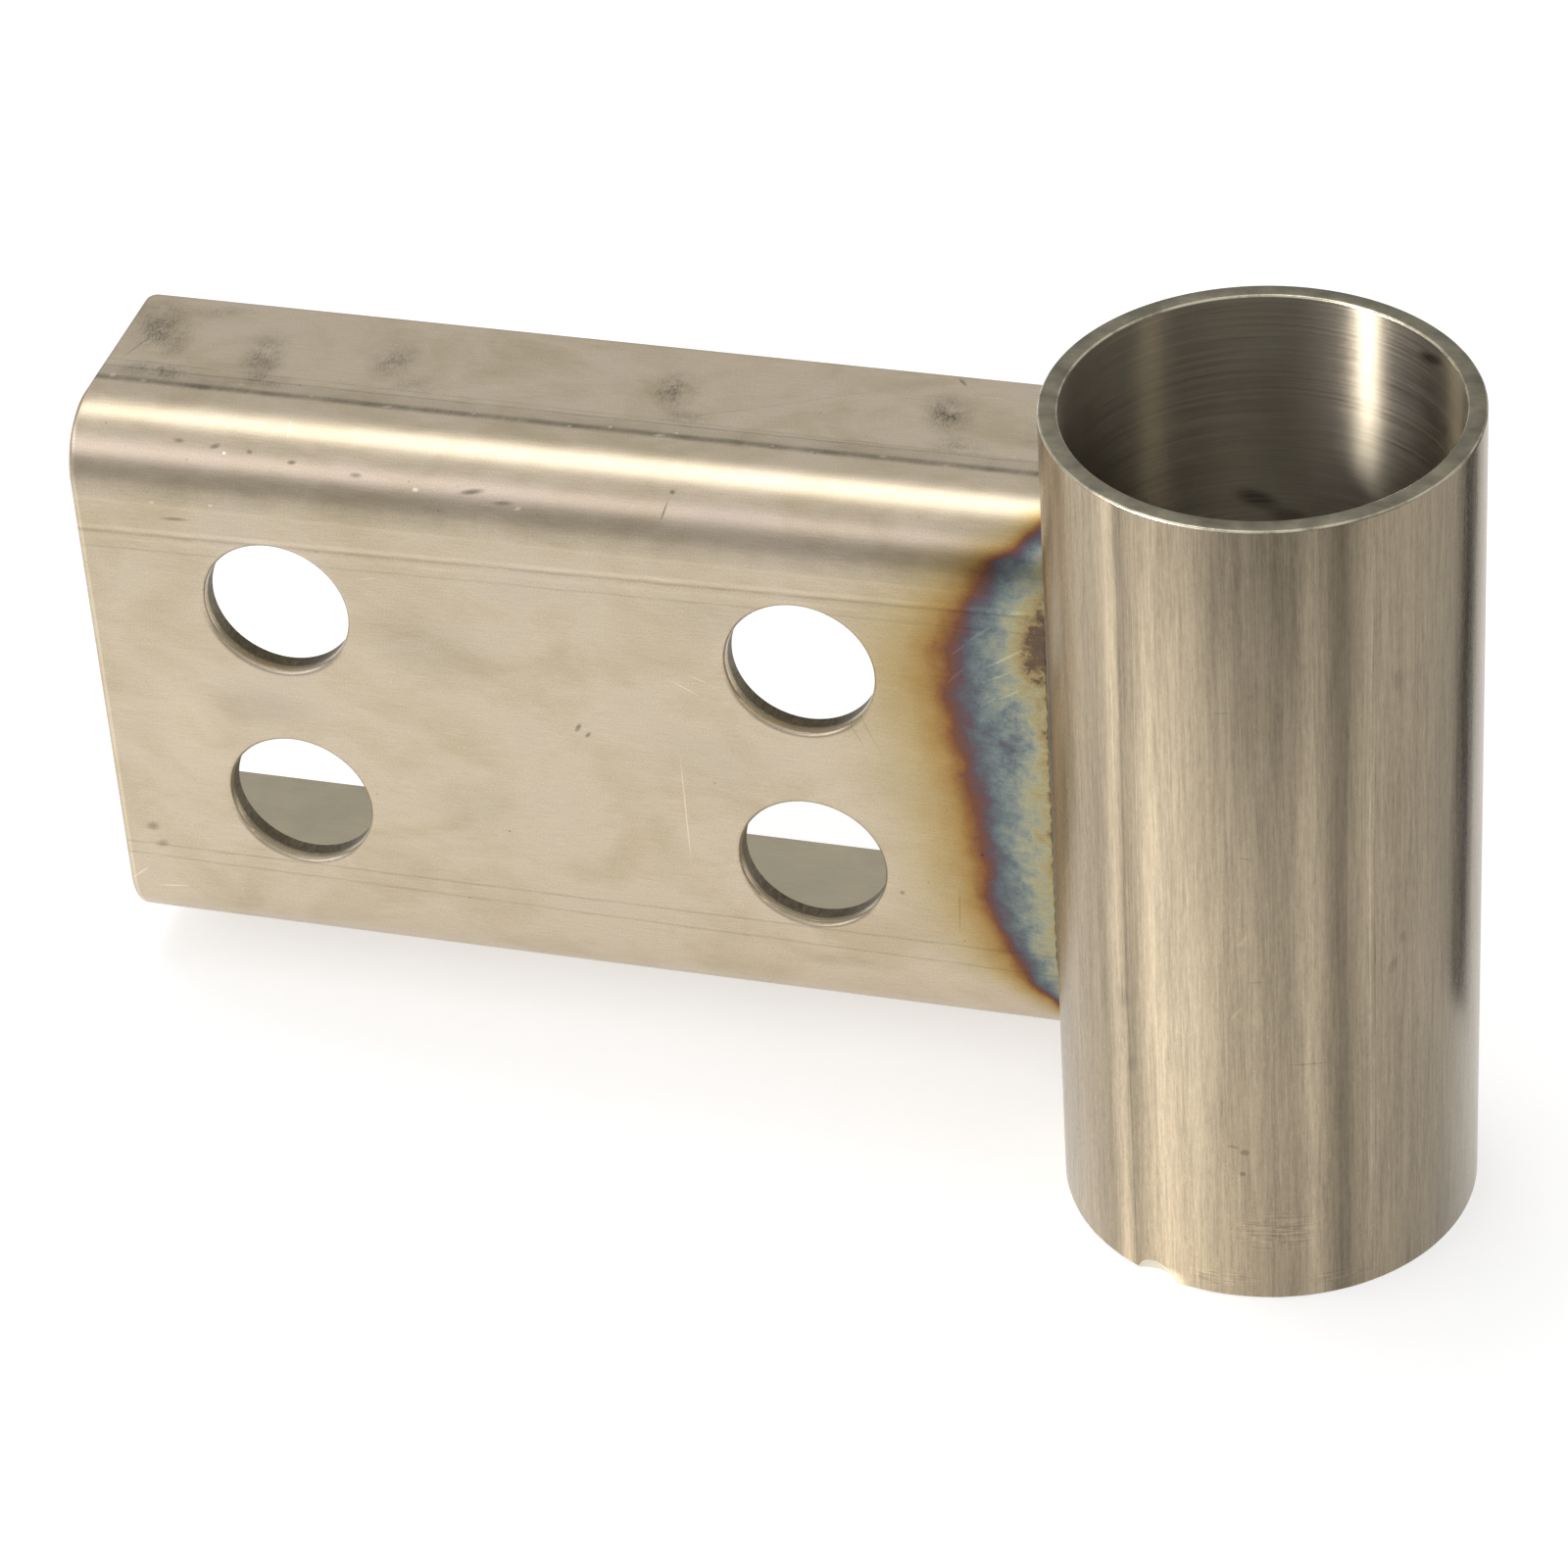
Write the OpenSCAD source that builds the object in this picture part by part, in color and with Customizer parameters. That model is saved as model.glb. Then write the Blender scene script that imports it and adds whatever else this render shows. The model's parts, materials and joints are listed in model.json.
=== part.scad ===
// Door pivot hinge: a welded bracket of stainless steel.
// A round tube takes the pivot pin. A channel folded from sheet is butted against the side
// of the tube and held by one fillet weld, and four punched holes take the door's bolts.
// The origin is in the middle of the bore. +Z runs up the tube, the channel reaches towards -X
// and the front of its web faces -Y.

/* [Tube] */
// Outside diameter of the tube
tube_od = 42.4; // [36:0.1:60]
// Wall of the tube
tube_wall = 2.0; // [1.2:0.1:4]
// Length of the tube
tube_len = 93.4; // [85:0.1:160]
// Chamfer that deburring leaves on the edges of the tube's ends
tube_edge = 0.3; // [0.1:0.05:0.5]

/* [Dressed seam] */
// Direction of the tube's own seam, in degrees round the tube
seam_angle = -111; // [-150:1:-60]
// Radius of the grinding mark at the foot of the seam
dress_r = 3.6; // [2.5:0.1:5]
// Depth of the grinding mark into the wall, at the foot
dress_depth = 1.0; // [0.4:0.1:1.1]
// How far the centre of the grinding mark lies under the foot
dress_drop = 0.6; // [0:0.1:1.5]

/* [Channel] */
// Height of the web, over both flanges
web_height = 65.7; // [50:0.1:75]
// Depth over the flanges, from the front of the web to their edges
channel_depth = 26; // [16:0.5:45]
// Length from the free end to the tube
channel_len = 108.6; // [95:0.1:180]
// Thickness of the folded sheet
sheet_t = 2.8; // [1.5:0.1:4]
// Inside radius of both folds
fold_r = 4.2; // [1.5:0.1:5]
// Radius on the corners of the flanges
corner_r = 1.2; // [0.5:0.1:4]
// Height of the channel's underside above the foot of the tube
channel_lift = 4.3; // [2:0.1:9]
// How far the front of the web lies behind the axis of the tube
web_setback = 8.5; // [4:0.1:12]

/* [Bolt holes] */
// Diameter of the punched holes
hole_d = 15.7; // [8:0.1:17]
// Distance between the holes along the channel
hole_pitch_x = 56.6; // [30:0.1:58]
// Distance between the holes up the web
hole_pitch_z = 24.8; // [20:0.1:26]
// Centre of the outer holes from the free end
hole_from_end = 21.2; // [14:0.1:24]
// Radius that the punch leaves on the front edge of a hole
hole_roll = 0.6; // [0.2:0.1:1.2]

/* [Weld] */
// Leg of the fillet weld, on the web and round the tube
weld_leg = 5.0; // [3:0.1:7]
// Height of the weld's crown over a flat fillet
weld_crown = 0.7; // [0.3:0.1:1.2]
// Distance from the upper fold to the start of the weld
weld_start = 2.5; // [1:0.5:8]
// Distance from the lower fold to the end of the weld
weld_end = 2.5; // [1:0.5:8]
// Distance from one weld ripple to the next
ripple_pitch = 1.7; // [1.2:0.1:3]
// Depth of the groove between two ripples
ripple_depth = 0.16; // [0.05:0.01:0.3]
// Length over which each end of the weld runs out
weld_runout = 3.0; // [1.5:0.5:5]

/* [Hidden] */
$fn = 96;

// How far a cutter starts outside the metal
overcut = 1;

tube_r = tube_od / 2;
bore_r = tube_r - tube_wall;
foot_z = -tube_len / 2;

fold_out_r = fold_r + sheet_t;
channel_low = foot_z + channel_lift;
channel_top = channel_low + web_height;
flange_edge_y = web_setback + channel_depth;

// The sheet is cut square, and the front corner of its end touches the tube
joint_x = -sqrt(pow(tube_r, 2) - pow(web_setback, 2));
free_x = joint_x - channel_len;

hole_xs = [free_x + hole_from_end, free_x + hole_from_end + hole_pitch_x];
// The holes are centred in the height of the web
web_middle = (channel_low + channel_top) / 2;
hole_zs = [web_middle + hole_pitch_z / 2, web_middle - hole_pitch_z / 2];

// Centre of the grinding mark, outside the wall
dress_out = sqrt(pow(dress_r, 2) - pow(dress_drop, 2)) - dress_depth;

// The weld fills the notch between the web and the tube. Its face is an arc over the
// chord from its toe on the web to its toe on the tube.
joint_angle = atan2(web_setback, joint_x);
web_toe = [joint_x - weld_leg, web_setback];
tube_toe_angle = joint_angle + weld_leg / tube_r * 180 / PI;
tube_toe = tube_r * [cos(tube_toe_angle), sin(tube_toe_angle)];
weld_chord = norm(tube_toe - web_toe);
chord_dir = (tube_toe - web_toe) / weld_chord;
weld_face_r = pow(weld_chord / 2, 2) / (2 * weld_crown) + weld_crown / 2;
weld_centre = (web_toe + tube_toe) / 2 + (weld_face_r - weld_crown) * [-chord_dir.y, chord_dir.x];
weld_root_r = norm([joint_x, web_setback] - weld_centre);

weld_low = channel_low + fold_out_r + weld_end;
weld_len = channel_top - fold_out_r - weld_start - weld_low;
ripples = floor(weld_len / ripple_pitch);
ripple_points = 4;
ripple_steps = ripples * ripple_points;

// Share of its full height that the weld still has at its very ends
end_share = 0.35;

// Radius of the weld's face at a step: each ripple is a low crest between two grooves, and
// both ends run out in a quarter of an ellipse
function end_distance(step) = min(step, ripple_steps - step) * weld_len / ripple_steps;
function runout(step) = max(0, 1 - end_distance(step) / weld_runout);
function fullness(step) = end_share + (1 - end_share) * sqrt(1 - pow(runout(step), 2));
function groove(step) = ripple_depth * (1 - sin(180 * (step % ripple_points) / ripple_points));
function face_r(step) = weld_root_r + (weld_face_r - groove(step) - weld_root_r) * fullness(step);

module pivot_tube() {
    color("#b9ae97")
    difference() {
        rotate_extrude() tube_section();
        foot_dressing();
    }
}

// Half section of the tube, with its four edges broken
module tube_section() {
    difference() {
        translate([bore_r, foot_z]) square([tube_wall, tube_len]);
        for (r = [bore_r, tube_r], z = [foot_z, -foot_z])
            translate([r, z]) rotate(45) square(tube_edge * sqrt(2), center = true);
    }
}

// Mark of the grinding wheel where the seam was dressed at the foot
module foot_dressing() {
    rotate([0, 0, seam_angle])
        translate([tube_r + dress_out, 0, foot_z - dress_drop]) sphere(r = dress_r);
}

module channel_bracket() {
    color("#b3a993")
    difference() {
        translate([free_x, 0, 0]) rotate([90, 0, 90]) linear_extrude(channel_len) channel_section();
        for (x = hole_xs, z = hole_zs) translate([x, web_setback, z]) rotate([-90, 0, 0]) punched_hole();
        for (end = [0, 1]) flange_corner(end);
    }
}

// Section across the channel, Y to the right and Z up: a U with round folds
module channel_section() {
    difference() {
        folded_outline(0, fold_out_r);
        folded_outline(sheet_t, fold_r);
    }
}

// A block open to the back, with its two front corners round
module folded_outline(inset, r) {
    low = channel_low + inset;
    high = channel_top - inset;
    front = web_setback + inset;
    back = flange_edge_y + (inset > 0 ? overcut : 0);
    translate([front + r, low]) square([back - front - r, high - low]);
    translate([front, low + r]) square([r, high - low - 2 * r]);
    for (z = [low + r, high - r]) translate([front + r, z]) circle(r = r);
}

// Cutter for one hole. It enters at the front of the web, where the edge is drawn in round.
module punched_hole() {
    translate([0, 0, -overcut]) cylinder(d = hole_d, h = sheet_t + 2 * overcut);
    rotate_extrude() difference() {
        translate([hole_d / 2 - overcut, -overcut]) square([hole_roll + overcut, hole_roll + overcut]);
        translate([hole_d / 2 + hole_roll, hole_roll]) circle(r = hole_roll);
        translate([hole_d / 2 + hole_roll, -2 * overcut]) square([overcut, 3 * overcut]);
    }
}

// Cutter that rounds the flanges' corners, at the free end for 0 and at the tube for 1
module flange_corner(end) {
    x = end == 0 ? free_x : joint_x;
    translate([x, flange_edge_y, channel_low - overcut])
        mirror([end, 0, 0])
        linear_extrude(web_height + 2 * overcut)
        difference() {
            translate([-overcut, -corner_r]) square(corner_r + overcut);
            translate([corner_r, -corner_r]) circle(r = corner_r);
        }
}

module fillet_weld() {
    color("#a49b88")
    difference() {
        translate([weld_centre.x, weld_centre.y, weld_low]) rotate_extrude() weld_section();
        translate([free_x, web_setback, foot_z])
            cube([channel_len + tube_od, channel_depth + tube_od, tube_len]);
        translate([0, 0, foot_z - overcut]) cylinder(r = tube_r, h = tube_len + 2 * overcut);
    }
}

// Half section of the weld about the centre of its face, rippled along its length
module weld_section() {
    polygon(concat(
        [[0, 0]],
        [for (step = [0:ripple_steps]) [face_r(step), step * weld_len / ripple_steps]],
        [[0, weld_len]]
    ));
}

pivot_tube();
channel_bracket();
fillet_weld();
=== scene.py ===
# %% [markdown]
# # A stainless door pivot bracket
# A round welded tube takes the pivot pin. A channel folded from 2.8 mm sheet is welded to its
# side, and four punched holes in the channel take the door's bolts.
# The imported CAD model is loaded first. It gives every size below, and each finer piece made
# here stands where its CAD node stands.

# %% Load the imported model
import json
import math

import bmesh
import bpy
from mathutils import Matrix, Vector
from mathutils.geometry import delaunay_2d_cdt


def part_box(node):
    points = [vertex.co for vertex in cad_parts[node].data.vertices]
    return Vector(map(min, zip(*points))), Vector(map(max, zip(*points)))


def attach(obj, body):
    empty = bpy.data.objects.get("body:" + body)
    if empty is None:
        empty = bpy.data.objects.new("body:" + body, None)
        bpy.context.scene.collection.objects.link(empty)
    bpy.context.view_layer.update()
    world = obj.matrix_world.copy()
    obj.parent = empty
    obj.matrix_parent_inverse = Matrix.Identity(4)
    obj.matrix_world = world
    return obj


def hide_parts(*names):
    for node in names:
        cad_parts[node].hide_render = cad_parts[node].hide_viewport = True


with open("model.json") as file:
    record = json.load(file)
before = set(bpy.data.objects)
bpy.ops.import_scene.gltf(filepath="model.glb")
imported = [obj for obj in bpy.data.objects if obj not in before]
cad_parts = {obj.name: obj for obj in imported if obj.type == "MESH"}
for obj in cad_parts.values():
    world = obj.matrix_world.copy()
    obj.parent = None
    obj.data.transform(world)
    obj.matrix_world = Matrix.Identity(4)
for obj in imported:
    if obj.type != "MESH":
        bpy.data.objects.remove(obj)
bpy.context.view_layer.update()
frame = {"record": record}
MM = 0.001
mounts = {mount["name"]: mount for mount in frame["record"]["mounts"]}

# %% Sizes from the frame
tube_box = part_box("pivot_tube")
sheet_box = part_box("channel_bracket")
weld_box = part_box("fillet_weld")
bore_radius = mounts["pivot_bore"]["dims"]["r_mm"] * MM
wall = 2.0 * MM
tube_radius = bore_radius + wall
tube_length = tube_box[1].z - tube_box[0].z
foot = tube_box[0].z
free_end, tube_end = sheet_box[0].x, sheet_box[1].x
web_front, flange_edge = sheet_box[0].y, sheet_box[1].y
channel_low, channel_top = sheet_box[0].z, sheet_box[1].z
print("tube", round(tube_radius / MM, 2), round(tube_length / MM, 2), "web at", round(web_front / MM, 2))

# %% [markdown]
# ## Small helpers
# Colours are written as they look on a screen, in hex, and one function turns them to the
# linear values that the renderer works with. One function adds a node, sets it up and links
# it. Two start an empty tree and stand a thing in the scene. The last ones turn a Geometry
# Nodes tree into a plain mesh, so that nothing is left live on it, and turn its faces outwards.

# %% Colour, nodes and baking a tree
def paint(code):
    """A screen colour such as 'c9ba9b' as linear red, green, blue and alpha."""
    channels = [int(code[i:i + 2], 16) / 255 for i in (0, 2, 4)]
    return tuple(c / 12.92 if c <= 0.04045 else ((c + 0.055) / 1.055) ** 2.4 for c in channels) + (1.0,)


def add(tree, kind, inputs=(), **settings):
    """Add a node. Shader nodes are named without their prefix. Inputs is a list in order or a
    dict by name or number. A node given there links from its first output, and None leaves a
    socket as it is."""
    full_names = ("GeometryNode", "FunctionNode", "NodeGroup")
    node = tree.nodes.new(kind if kind.startswith(full_names) else "ShaderNode" + kind)
    for name, value in settings.items():
        setattr(node, name, value)
    pairs = inputs.items() if isinstance(inputs, dict) else enumerate(inputs)
    for key, value in pairs:
        if value is None:
            continue
        if isinstance(value, bpy.types.Node):
            value = value.outputs[0]
        if isinstance(value, bpy.types.NodeSocket):
            tree.links.new(value, node.inputs[key])
        else:
            node.inputs[key].default_value = value
    return node


def empty_tree(owner):
    """Give a material or the world an empty shader tree."""
    owner.use_nodes = True
    owner.node_tree.nodes.clear()
    return owner.node_tree


def new_object(name, data):
    """Stand a mesh, a lamp or the camera in the scene."""
    thing = bpy.data.objects.new(name, data)
    bpy.context.scene.collection.objects.link(thing)
    return thing


def start_tree(name, sizes):
    """A Geometry Nodes tree with one named input for each size. Returns it and its inputs."""
    tree = bpy.data.node_groups.new(name, "GeometryNodeTree")
    tree.interface.new_socket("Geometry", in_out="OUTPUT", socket_type="NodeSocketGeometry")
    for label in sizes:
        tree.interface.new_socket(label, in_out="INPUT", socket_type="NodeSocketFloat")
    entry = add(tree, "NodeGroupInput")
    return tree, {label: entry.outputs[label] for label in sizes}


def bake_tree(tree, last, name, sizes):
    """End the tree, run it once with the sizes given and keep the result as a plain mesh."""
    add(tree, "NodeGroupOutput", [add(tree, "GeometryNodeRealizeInstances", [last])])
    thing = new_object(name, bpy.data.meshes.new(name))
    modifier = thing.modifiers.new("form", "NODES")
    modifier.node_group = tree
    for item in tree.interface.items_tree:
        if item.in_out == "INPUT":
            modifier[item.identifier] = float(sizes[item.name])
    depsgraph = bpy.context.evaluated_depsgraph_get()
    made = bpy.data.meshes.new_from_object(thing.evaluated_get(depsgraph), depsgraph=depsgraph)
    thing.modifiers.remove(modifier)
    thing.data = made
    return thing


def outward(mesh):
    """Merge double points and turn every face outwards."""
    work = bmesh.new()
    work.from_mesh(mesh)
    bmesh.ops.remove_doubles(work, verts=work.verts, dist=0.0005 * MM)
    bmesh.ops.recalc_face_normals(work, faces=work.faces)
    volume = work.calc_volume(signed=True)
    if volume < 0:
        bmesh.ops.reverse_faces(work, faces=work.faces)
    open_edges = sum(1 for edge in work.edges if len(edge.link_faces) != 2)
    work.to_mesh(mesh)
    work.free()
    print(mesh.name, "volume", round(abs(volume) / MM ** 3, 1), "mm3, open edges", open_edges)

# %% [markdown]
# ## Stainless steel, and what heat does to it
# All three pieces are the same metal, stainless steel with a warm cast from the room. What
# differs is how each surface was made: the sheet is as it left the rolling mill, the tube was
# drawn through rolls and keeps lines along its length, its ends were sawn, and the holes were
# punched. Each of these gets its own material, because each scatters light differently.
# Beside the weld the steel has temper colours: an oxide film that is thicker where the metal
# was hotter, and goes from straw through brown and purple to blue and pale grey.
# They could be painted by hand. Here one value, the heat, is worked out from the distance to
# the joint, and one colour ramp turns it into colour, which is how the real film works too.

# %% The temper colours, from the joint outwards
# The heat scale is 1 at the brown edge of the tint, so 0.5 is halfway from there to the joint.
TEMPER = [
    (0.00, "64544a"), (0.14, "6c5a48"), (0.24, "97845f"), (0.38, "a69a72"), (0.50, "a5a286"),
    (0.62, "8f9488"), (0.73, "747f7e"), (0.82, "62676c"), (0.89, "655357"), (0.96, "77503e"),
    (1.03, "916a41"), (1.12, "a78955"), (1.28, "b39c6d"), (1.52, "baa77f"), (1.85, "bfae8e"),
    (2.20, "c1b296"),
]
HEAT_REACH = 2.2
# Width of the tint in mm at places down the web, measured over the sheet from the back edge
# of the top flange: narrow at the ends of the weld and widest in its upper third.
TINT_WIDTH = [
    (17, 1.5), (21, 3.5), (25, 7.0), (27.5, 10.6), (30, 11.8), (34.3, 14.2), (39, 15.6), (43.5, 15.9),
    (48, 15.0), (52.4, 14.2), (57, 13.6), (66, 12.7), (71, 12.1), (75.3, 10.7), (79.8, 8.5), (82.6, 5.2),
    (86, 2.5), (93, 1.0),
]
WIDEST_TINT = 16.0
# Width of the flat blank, in mm
BLANK_WIDTH = 111.7


def fill_ramp(node, stops, reach=1.0):
    """Set a colour ramp's stops, given as (place, hex colour or grey value)."""
    ramp = node.color_ramp
    while len(ramp.elements) > 1:
        ramp.elements.remove(ramp.elements[0])
    for number, (place, value) in enumerate(stops):
        stop = ramp.elements[0] if number == 0 else ramp.elements.new(place / reach)
        stop.position = place / reach
        stop.color = paint(value) if isinstance(value, str) else (value, value, value, 1.0)
    return node


def temper_colour(tree, heat):
    """The colour of the oxide film at a heat."""
    key = add(tree, "Math", [heat, 1 / HEAT_REACH], operation="MULTIPLY")
    return fill_ramp(add(tree, "ValToRGB", [key]), TEMPER, HEAT_REACH)


# %% What every metal here needs
# Settings of a Mix node that mixes two colours, and of one that darkens a colour by a tone
COLOURS = {"data_type": "RGBA"}
TONED = {"data_type": "RGBA", "blend_type": "MULTIPLY"}


def metal_material(name):
    """An empty material with a metallic shader. Returns the material, its tree and shader."""
    material = bpy.data.materials.new(name)
    tree = empty_tree(material)
    shader = add(tree, "BsdfPrincipled", {"Metallic": 1.0})
    add(tree, "OutputMaterial", [shader])
    return material, tree, shader


def tone_from(tree, patterns, plain=1.0):
    """A tone that each pattern moves up or down by half its share."""
    tone = plain
    for pattern, share in patterns:
        if isinstance(tone, float):
            lowered = tone - share / 2
        else:
            lowered = add(tree, "Math", [tone, -share / 2], operation="ADD")
        tone = add(tree, "Math", [pattern, share, lowered], operation="MULTIPLY_ADD")
    return tone


def finish_metal(tree, shader, colour, roughness, height, strength, depth_mm):
    """Link a metal's colour, roughness and fine relief."""
    relief = add(tree, "Bump", {"Strength": strength, "Distance": depth_mm * MM, "Height": height})
    for name, value in (("Base Color", colour), ("Roughness", roughness), ("Normal", relief)):
        if isinstance(value, float):
            shader.inputs[name].default_value = value
        else:
            tree.links.new(value.outputs[0] if isinstance(value, bpy.types.Node) else value,
                           shader.inputs[name])

# %% [markdown]
# ## Mill-finished sheet
# Cold-rolled stainless has a fine grain along the rolling direction, cloudy patches, and a
# gloss between satin and mirror. Handling adds scratches, and the press brake leaves lines
# beside its folds. The pattern has to run round the folds with the sheet, so it reads an
# attribute of the mesh, "blank": where each point lay on the flat sheet before it was folded,
# in mm (along the channel, across the sheet, and down into its thickness).

# %% Marks on the outside of the sheet
# Each is (place along, place across, half length, half width, turn in degrees, strength).
# Strength below 0 darkens. The places are in mm on the flat blank.
SMUDGES = [
    (-111.5, 9.6, 3.4, 6.6, 12, 0.9), (-109.5, 14.0, 4.4, 2.2, 0, 0.55), (-97.6, 8.0, 3.6, 4.6, -14, 0.85),
    (-94.0, 12.0, 3.6, 2.4, 0, 0.5), (-67.3, 8.0, 3.6, 4.6, 10, 1.0), (-64.6, 12.6, 4.4, 2.2, 0, 0.55),
    (-38.4, 7.2, 3.6, 5.4, 24, 1.1), (-36.0, 12.6, 4.2, 2.4, 0, 0.6), (-124.0, 6.5, 4.6, 8.0, 30, 1.0),
    (-122.0, 14.2, 6.0, 2.4, 0, 0.9), (-119.0, 2.2, 6.0, 1.8, 10, 0.5), (-28.0, 9.0, 3.0, 5.0, 0, 0.4),
]
STAINS = [
    (-90.0, 46.0, 10.0, 6.0, -15, -0.09), (-87.0, 66.0, 8.0, 5.0, 5, -0.06),
    (-124.4, 74.2, 1.1, 0.8, 20, -0.30), (-123.5, 76.4, 1.1, 0.7, 20, -0.26),
    (-74.6, 54.0, 0.9, 0.35, 60, -0.50), (-73.6, 54.8, 0.7, 0.30, 50, -0.45),
    (-116.7, 33.2, 2.2, 0.30, 3, -0.34), (-60.0, 57.0, 12.0, 7.0, 0, -0.05),
    (-47.0, 80.6, 7.0, 1.2, 3, -0.10), (-116.0, 24.2, 0.8, 0.35, 0, -0.45),
    (-112.0, 24.4, 0.9, 0.40, 20, -0.50), (-108.2, 24.6, 0.5, 0.35, 0, -0.45),
    (-103.5, 25.2, 0.7, 0.35, 10, -0.45), (-96.5, 25.8, 0.9, 0.4, 0, -0.30),
    (-84.0, 26.2, 1.8, 0.40, 12, -0.45), (-80.6, 27.0, 1.5, 0.35, 5, -0.40),
    (-63.0, 24.0, 0.45, 0.35, 0, -0.60), (-63.6, 26.0, 1.6, 0.14, 75, -0.45),
    (-38.4, 1.2, 1.2, 0.35, -50, -0.50), (-52.0, 66.5, 0.5, 0.35, 0, -0.30),
    (-40.6, 70.5, 0.45, 0.4, 0, -0.34), (-110.0, 56.5, 9.0, 3.6, 0, -0.10),
    (-106.0, 44.0, 7.0, 9.0, 20, -0.05), (-118.0, 60.0, 6.0, 10.0, 0, 0.04),
    (-58.0, 38.0, 10.0, 4.0, 0, -0.05),
]
SCRATCHES = [
    (-63.6, 63.0, 8.4, 0.10, 91, 0.30), (-34.5, 72.0, 3.6, 0.09, 88, -0.24),
    (-45.6, 48.5, 5.8, 0.09, -63, -0.20), (-43.4, 49.5, 5.4, 0.09, -66, -0.18),
    (-126.6, 80.8, 1.7, 0.10, 40, 0.34), (-123.0, 82.1, 2.2, 0.10, 8, 0.30),
    (-62.6, 47.3, 2.2, 0.08, -28, 0.30), (-61.0, 46.0, 1.5, 0.08, -20, 0.26),
    (-125.4, 10.2, 3.0, 0.12, 70, -0.30), (-110.9, 25.0, 0.24, 0.20, 0, 0.9),
    (-60.0, 10.5, 9.0, 0.09, 24, -0.14), (-52.0, 6.8, 8.0, 0.09, 26, -0.12),
    (-28.0, 38.6, 2.6, 0.16, 35, 0.34), (-29.5, 41.4, 2.4, 0.13, 28, 0.34),
    (-28.2, 43.4, 2.0, 0.12, 32, 0.30), (-30.4, 44.6, 1.6, 0.10, 40, 0.26),
    (-27.0, 33.2, 1.6, 0.16, 10, 0.22), (-31.0, 36.2, 2.0, 0.22, 40, 0.30),
    (-33.2, 38.4, 1.6, 0.20, 44, 0.28), (-33.6, 41.6, 1.8, 0.16, 48, 0.30),
    (-29.8, 39.8, 1.4, 0.20, 30, 0.30), (-104.6, 21.6, 1.4, 0.12, -80, 0.30),
    (-90.0, 26.6, 0.4, 0.25, 0, 0.60), (-79.0, 27.4, 0.5, 0.2, 20, 0.5), (-119.0, 31.4, 0.4, 0.2, 10, 0.3),
    (-112.5, 31.0, 0.3, 0.2, 0, 0.35), (-96.0, 38.0, 1.6, 0.10, 12, 0.20),
    # The last two are not scratches: a painted highlight along the rounded free end of the sheet
    (-127.4, 60.0, 0.22, 60.0, 0, 0.22), (-128.4, 60.0, 0.5, 60.0, 0, 0.20),
]
# Light specks along the die's main line, where grit was pressed in
SPECKS = [
    (-122.4, 16.3, 0.5, 0.35, 0, 0.3), (-104.0, 16.0, 0.3, 0.2, 0, 0.4), (-95.6, 16.4, 0.7, 0.3, 20, 0.45),
    (-86.4, 16.0, 0.4, 0.2, 0, 0.35), (-76.0, 16.4, 0.3, 0.3, 0, 0.5), (-71.8, 15.8, 0.25, 0.35, 0, 0.5),
    (-66.4, 16.3, 0.8, 0.25, 12, 0.45), (-64.8, 15.6, 0.3, 0.2, 0, 0.5), (-54.5, 16.1, 0.3, 0.2, 0, 0.4),
    (-50.2, 16.5, 0.25, 0.2, 0, 0.4), (-43.0, 15.9, 0.5, 0.25, 0, 0.4), (-36.4, 16.3, 0.25, 0.2, 0, 0.4),
    (-30.0, 13.6, 0.3, 0.2, 0, 0.3), (-126.0, 15.9, 0.5, 0.5, 0, 0.4), (-112.0, 15.2, 0.5, 0.2, 0, 0.3),
]
# Lines that the press tools leave along the whole sheet: (place across where x is -75 mm,
# slope, half width, strength). Some are painted light: the wide soft bands at 15.2 and 29.6 are
# painted shade beside the die line and at the foot of the upper fold, and the light line at 34.1
# over the dark one at 34.65 paints the highlight and shade of a press ridge.
PRESS_LINES = [
    (16.2, -0.003, 0.50, -0.46), (15.2, -0.003, 1.3, -0.16), (14.2, 0.0, 0.14, -0.20),
    (13.4, 0.01, 0.12, -0.14), (29.6, 0.0, 1.7, -0.20), (34.65, -0.022, 0.20, -0.20),
    (34.1, -0.022, 0.26, 0.14), (35.5, -0.020, 0.30, 0.06), (36.6, -0.022, 0.14, -0.12),
    (31.6, -0.004, 0.22, 0.07), (76.6, 0.0, 0.14, -0.18), (78.6, 0.01, 0.14, -0.16), (88.5, 0.0, 0.7, -0.07),
    (85.4, 0.0, 0.3, 0.05), (95.6, 0.002, 0.26, -0.34),
]


def spots(tree, place, marks, edge):
    """Sum of many soft-edged ellipses, each times its strength."""
    total = None
    for along, across, long_half, wide_half, turn, strength in marks:
        moved = add(tree, "VectorMath", [place, (along, across, 0)], operation="SUBTRACT")
        turned = add(tree, "VectorRotate", {"Vector": moved, "Angle": math.radians(turn)},
                     rotation_type="Z_AXIS")
        shrunk = add(tree, "VectorMath", [turned, (1 / long_half, 1 / wide_half, 0)], operation="MULTIPLY")
        far = add(tree, "VectorMath", [shrunk], operation="LENGTH").outputs["Value"]
        soft = add(tree, "MapRange", [far, edge, 1.0, strength, 0.0], interpolation_type="SMOOTHSTEP")
        total = soft if total is None else add(tree, "Math", [total, soft], operation="ADD")
    return total


# %% Grain and clouds of the outside of the sheet
sheet_skin, tree, shader = metal_material("Mill-finished stainless sheet")
blank = add(tree, "Attribute", attribute_name="blank").outputs["Vector"]
along, across = add(tree, "SeparateXYZ", [blank]).outputs[:2]
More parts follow.
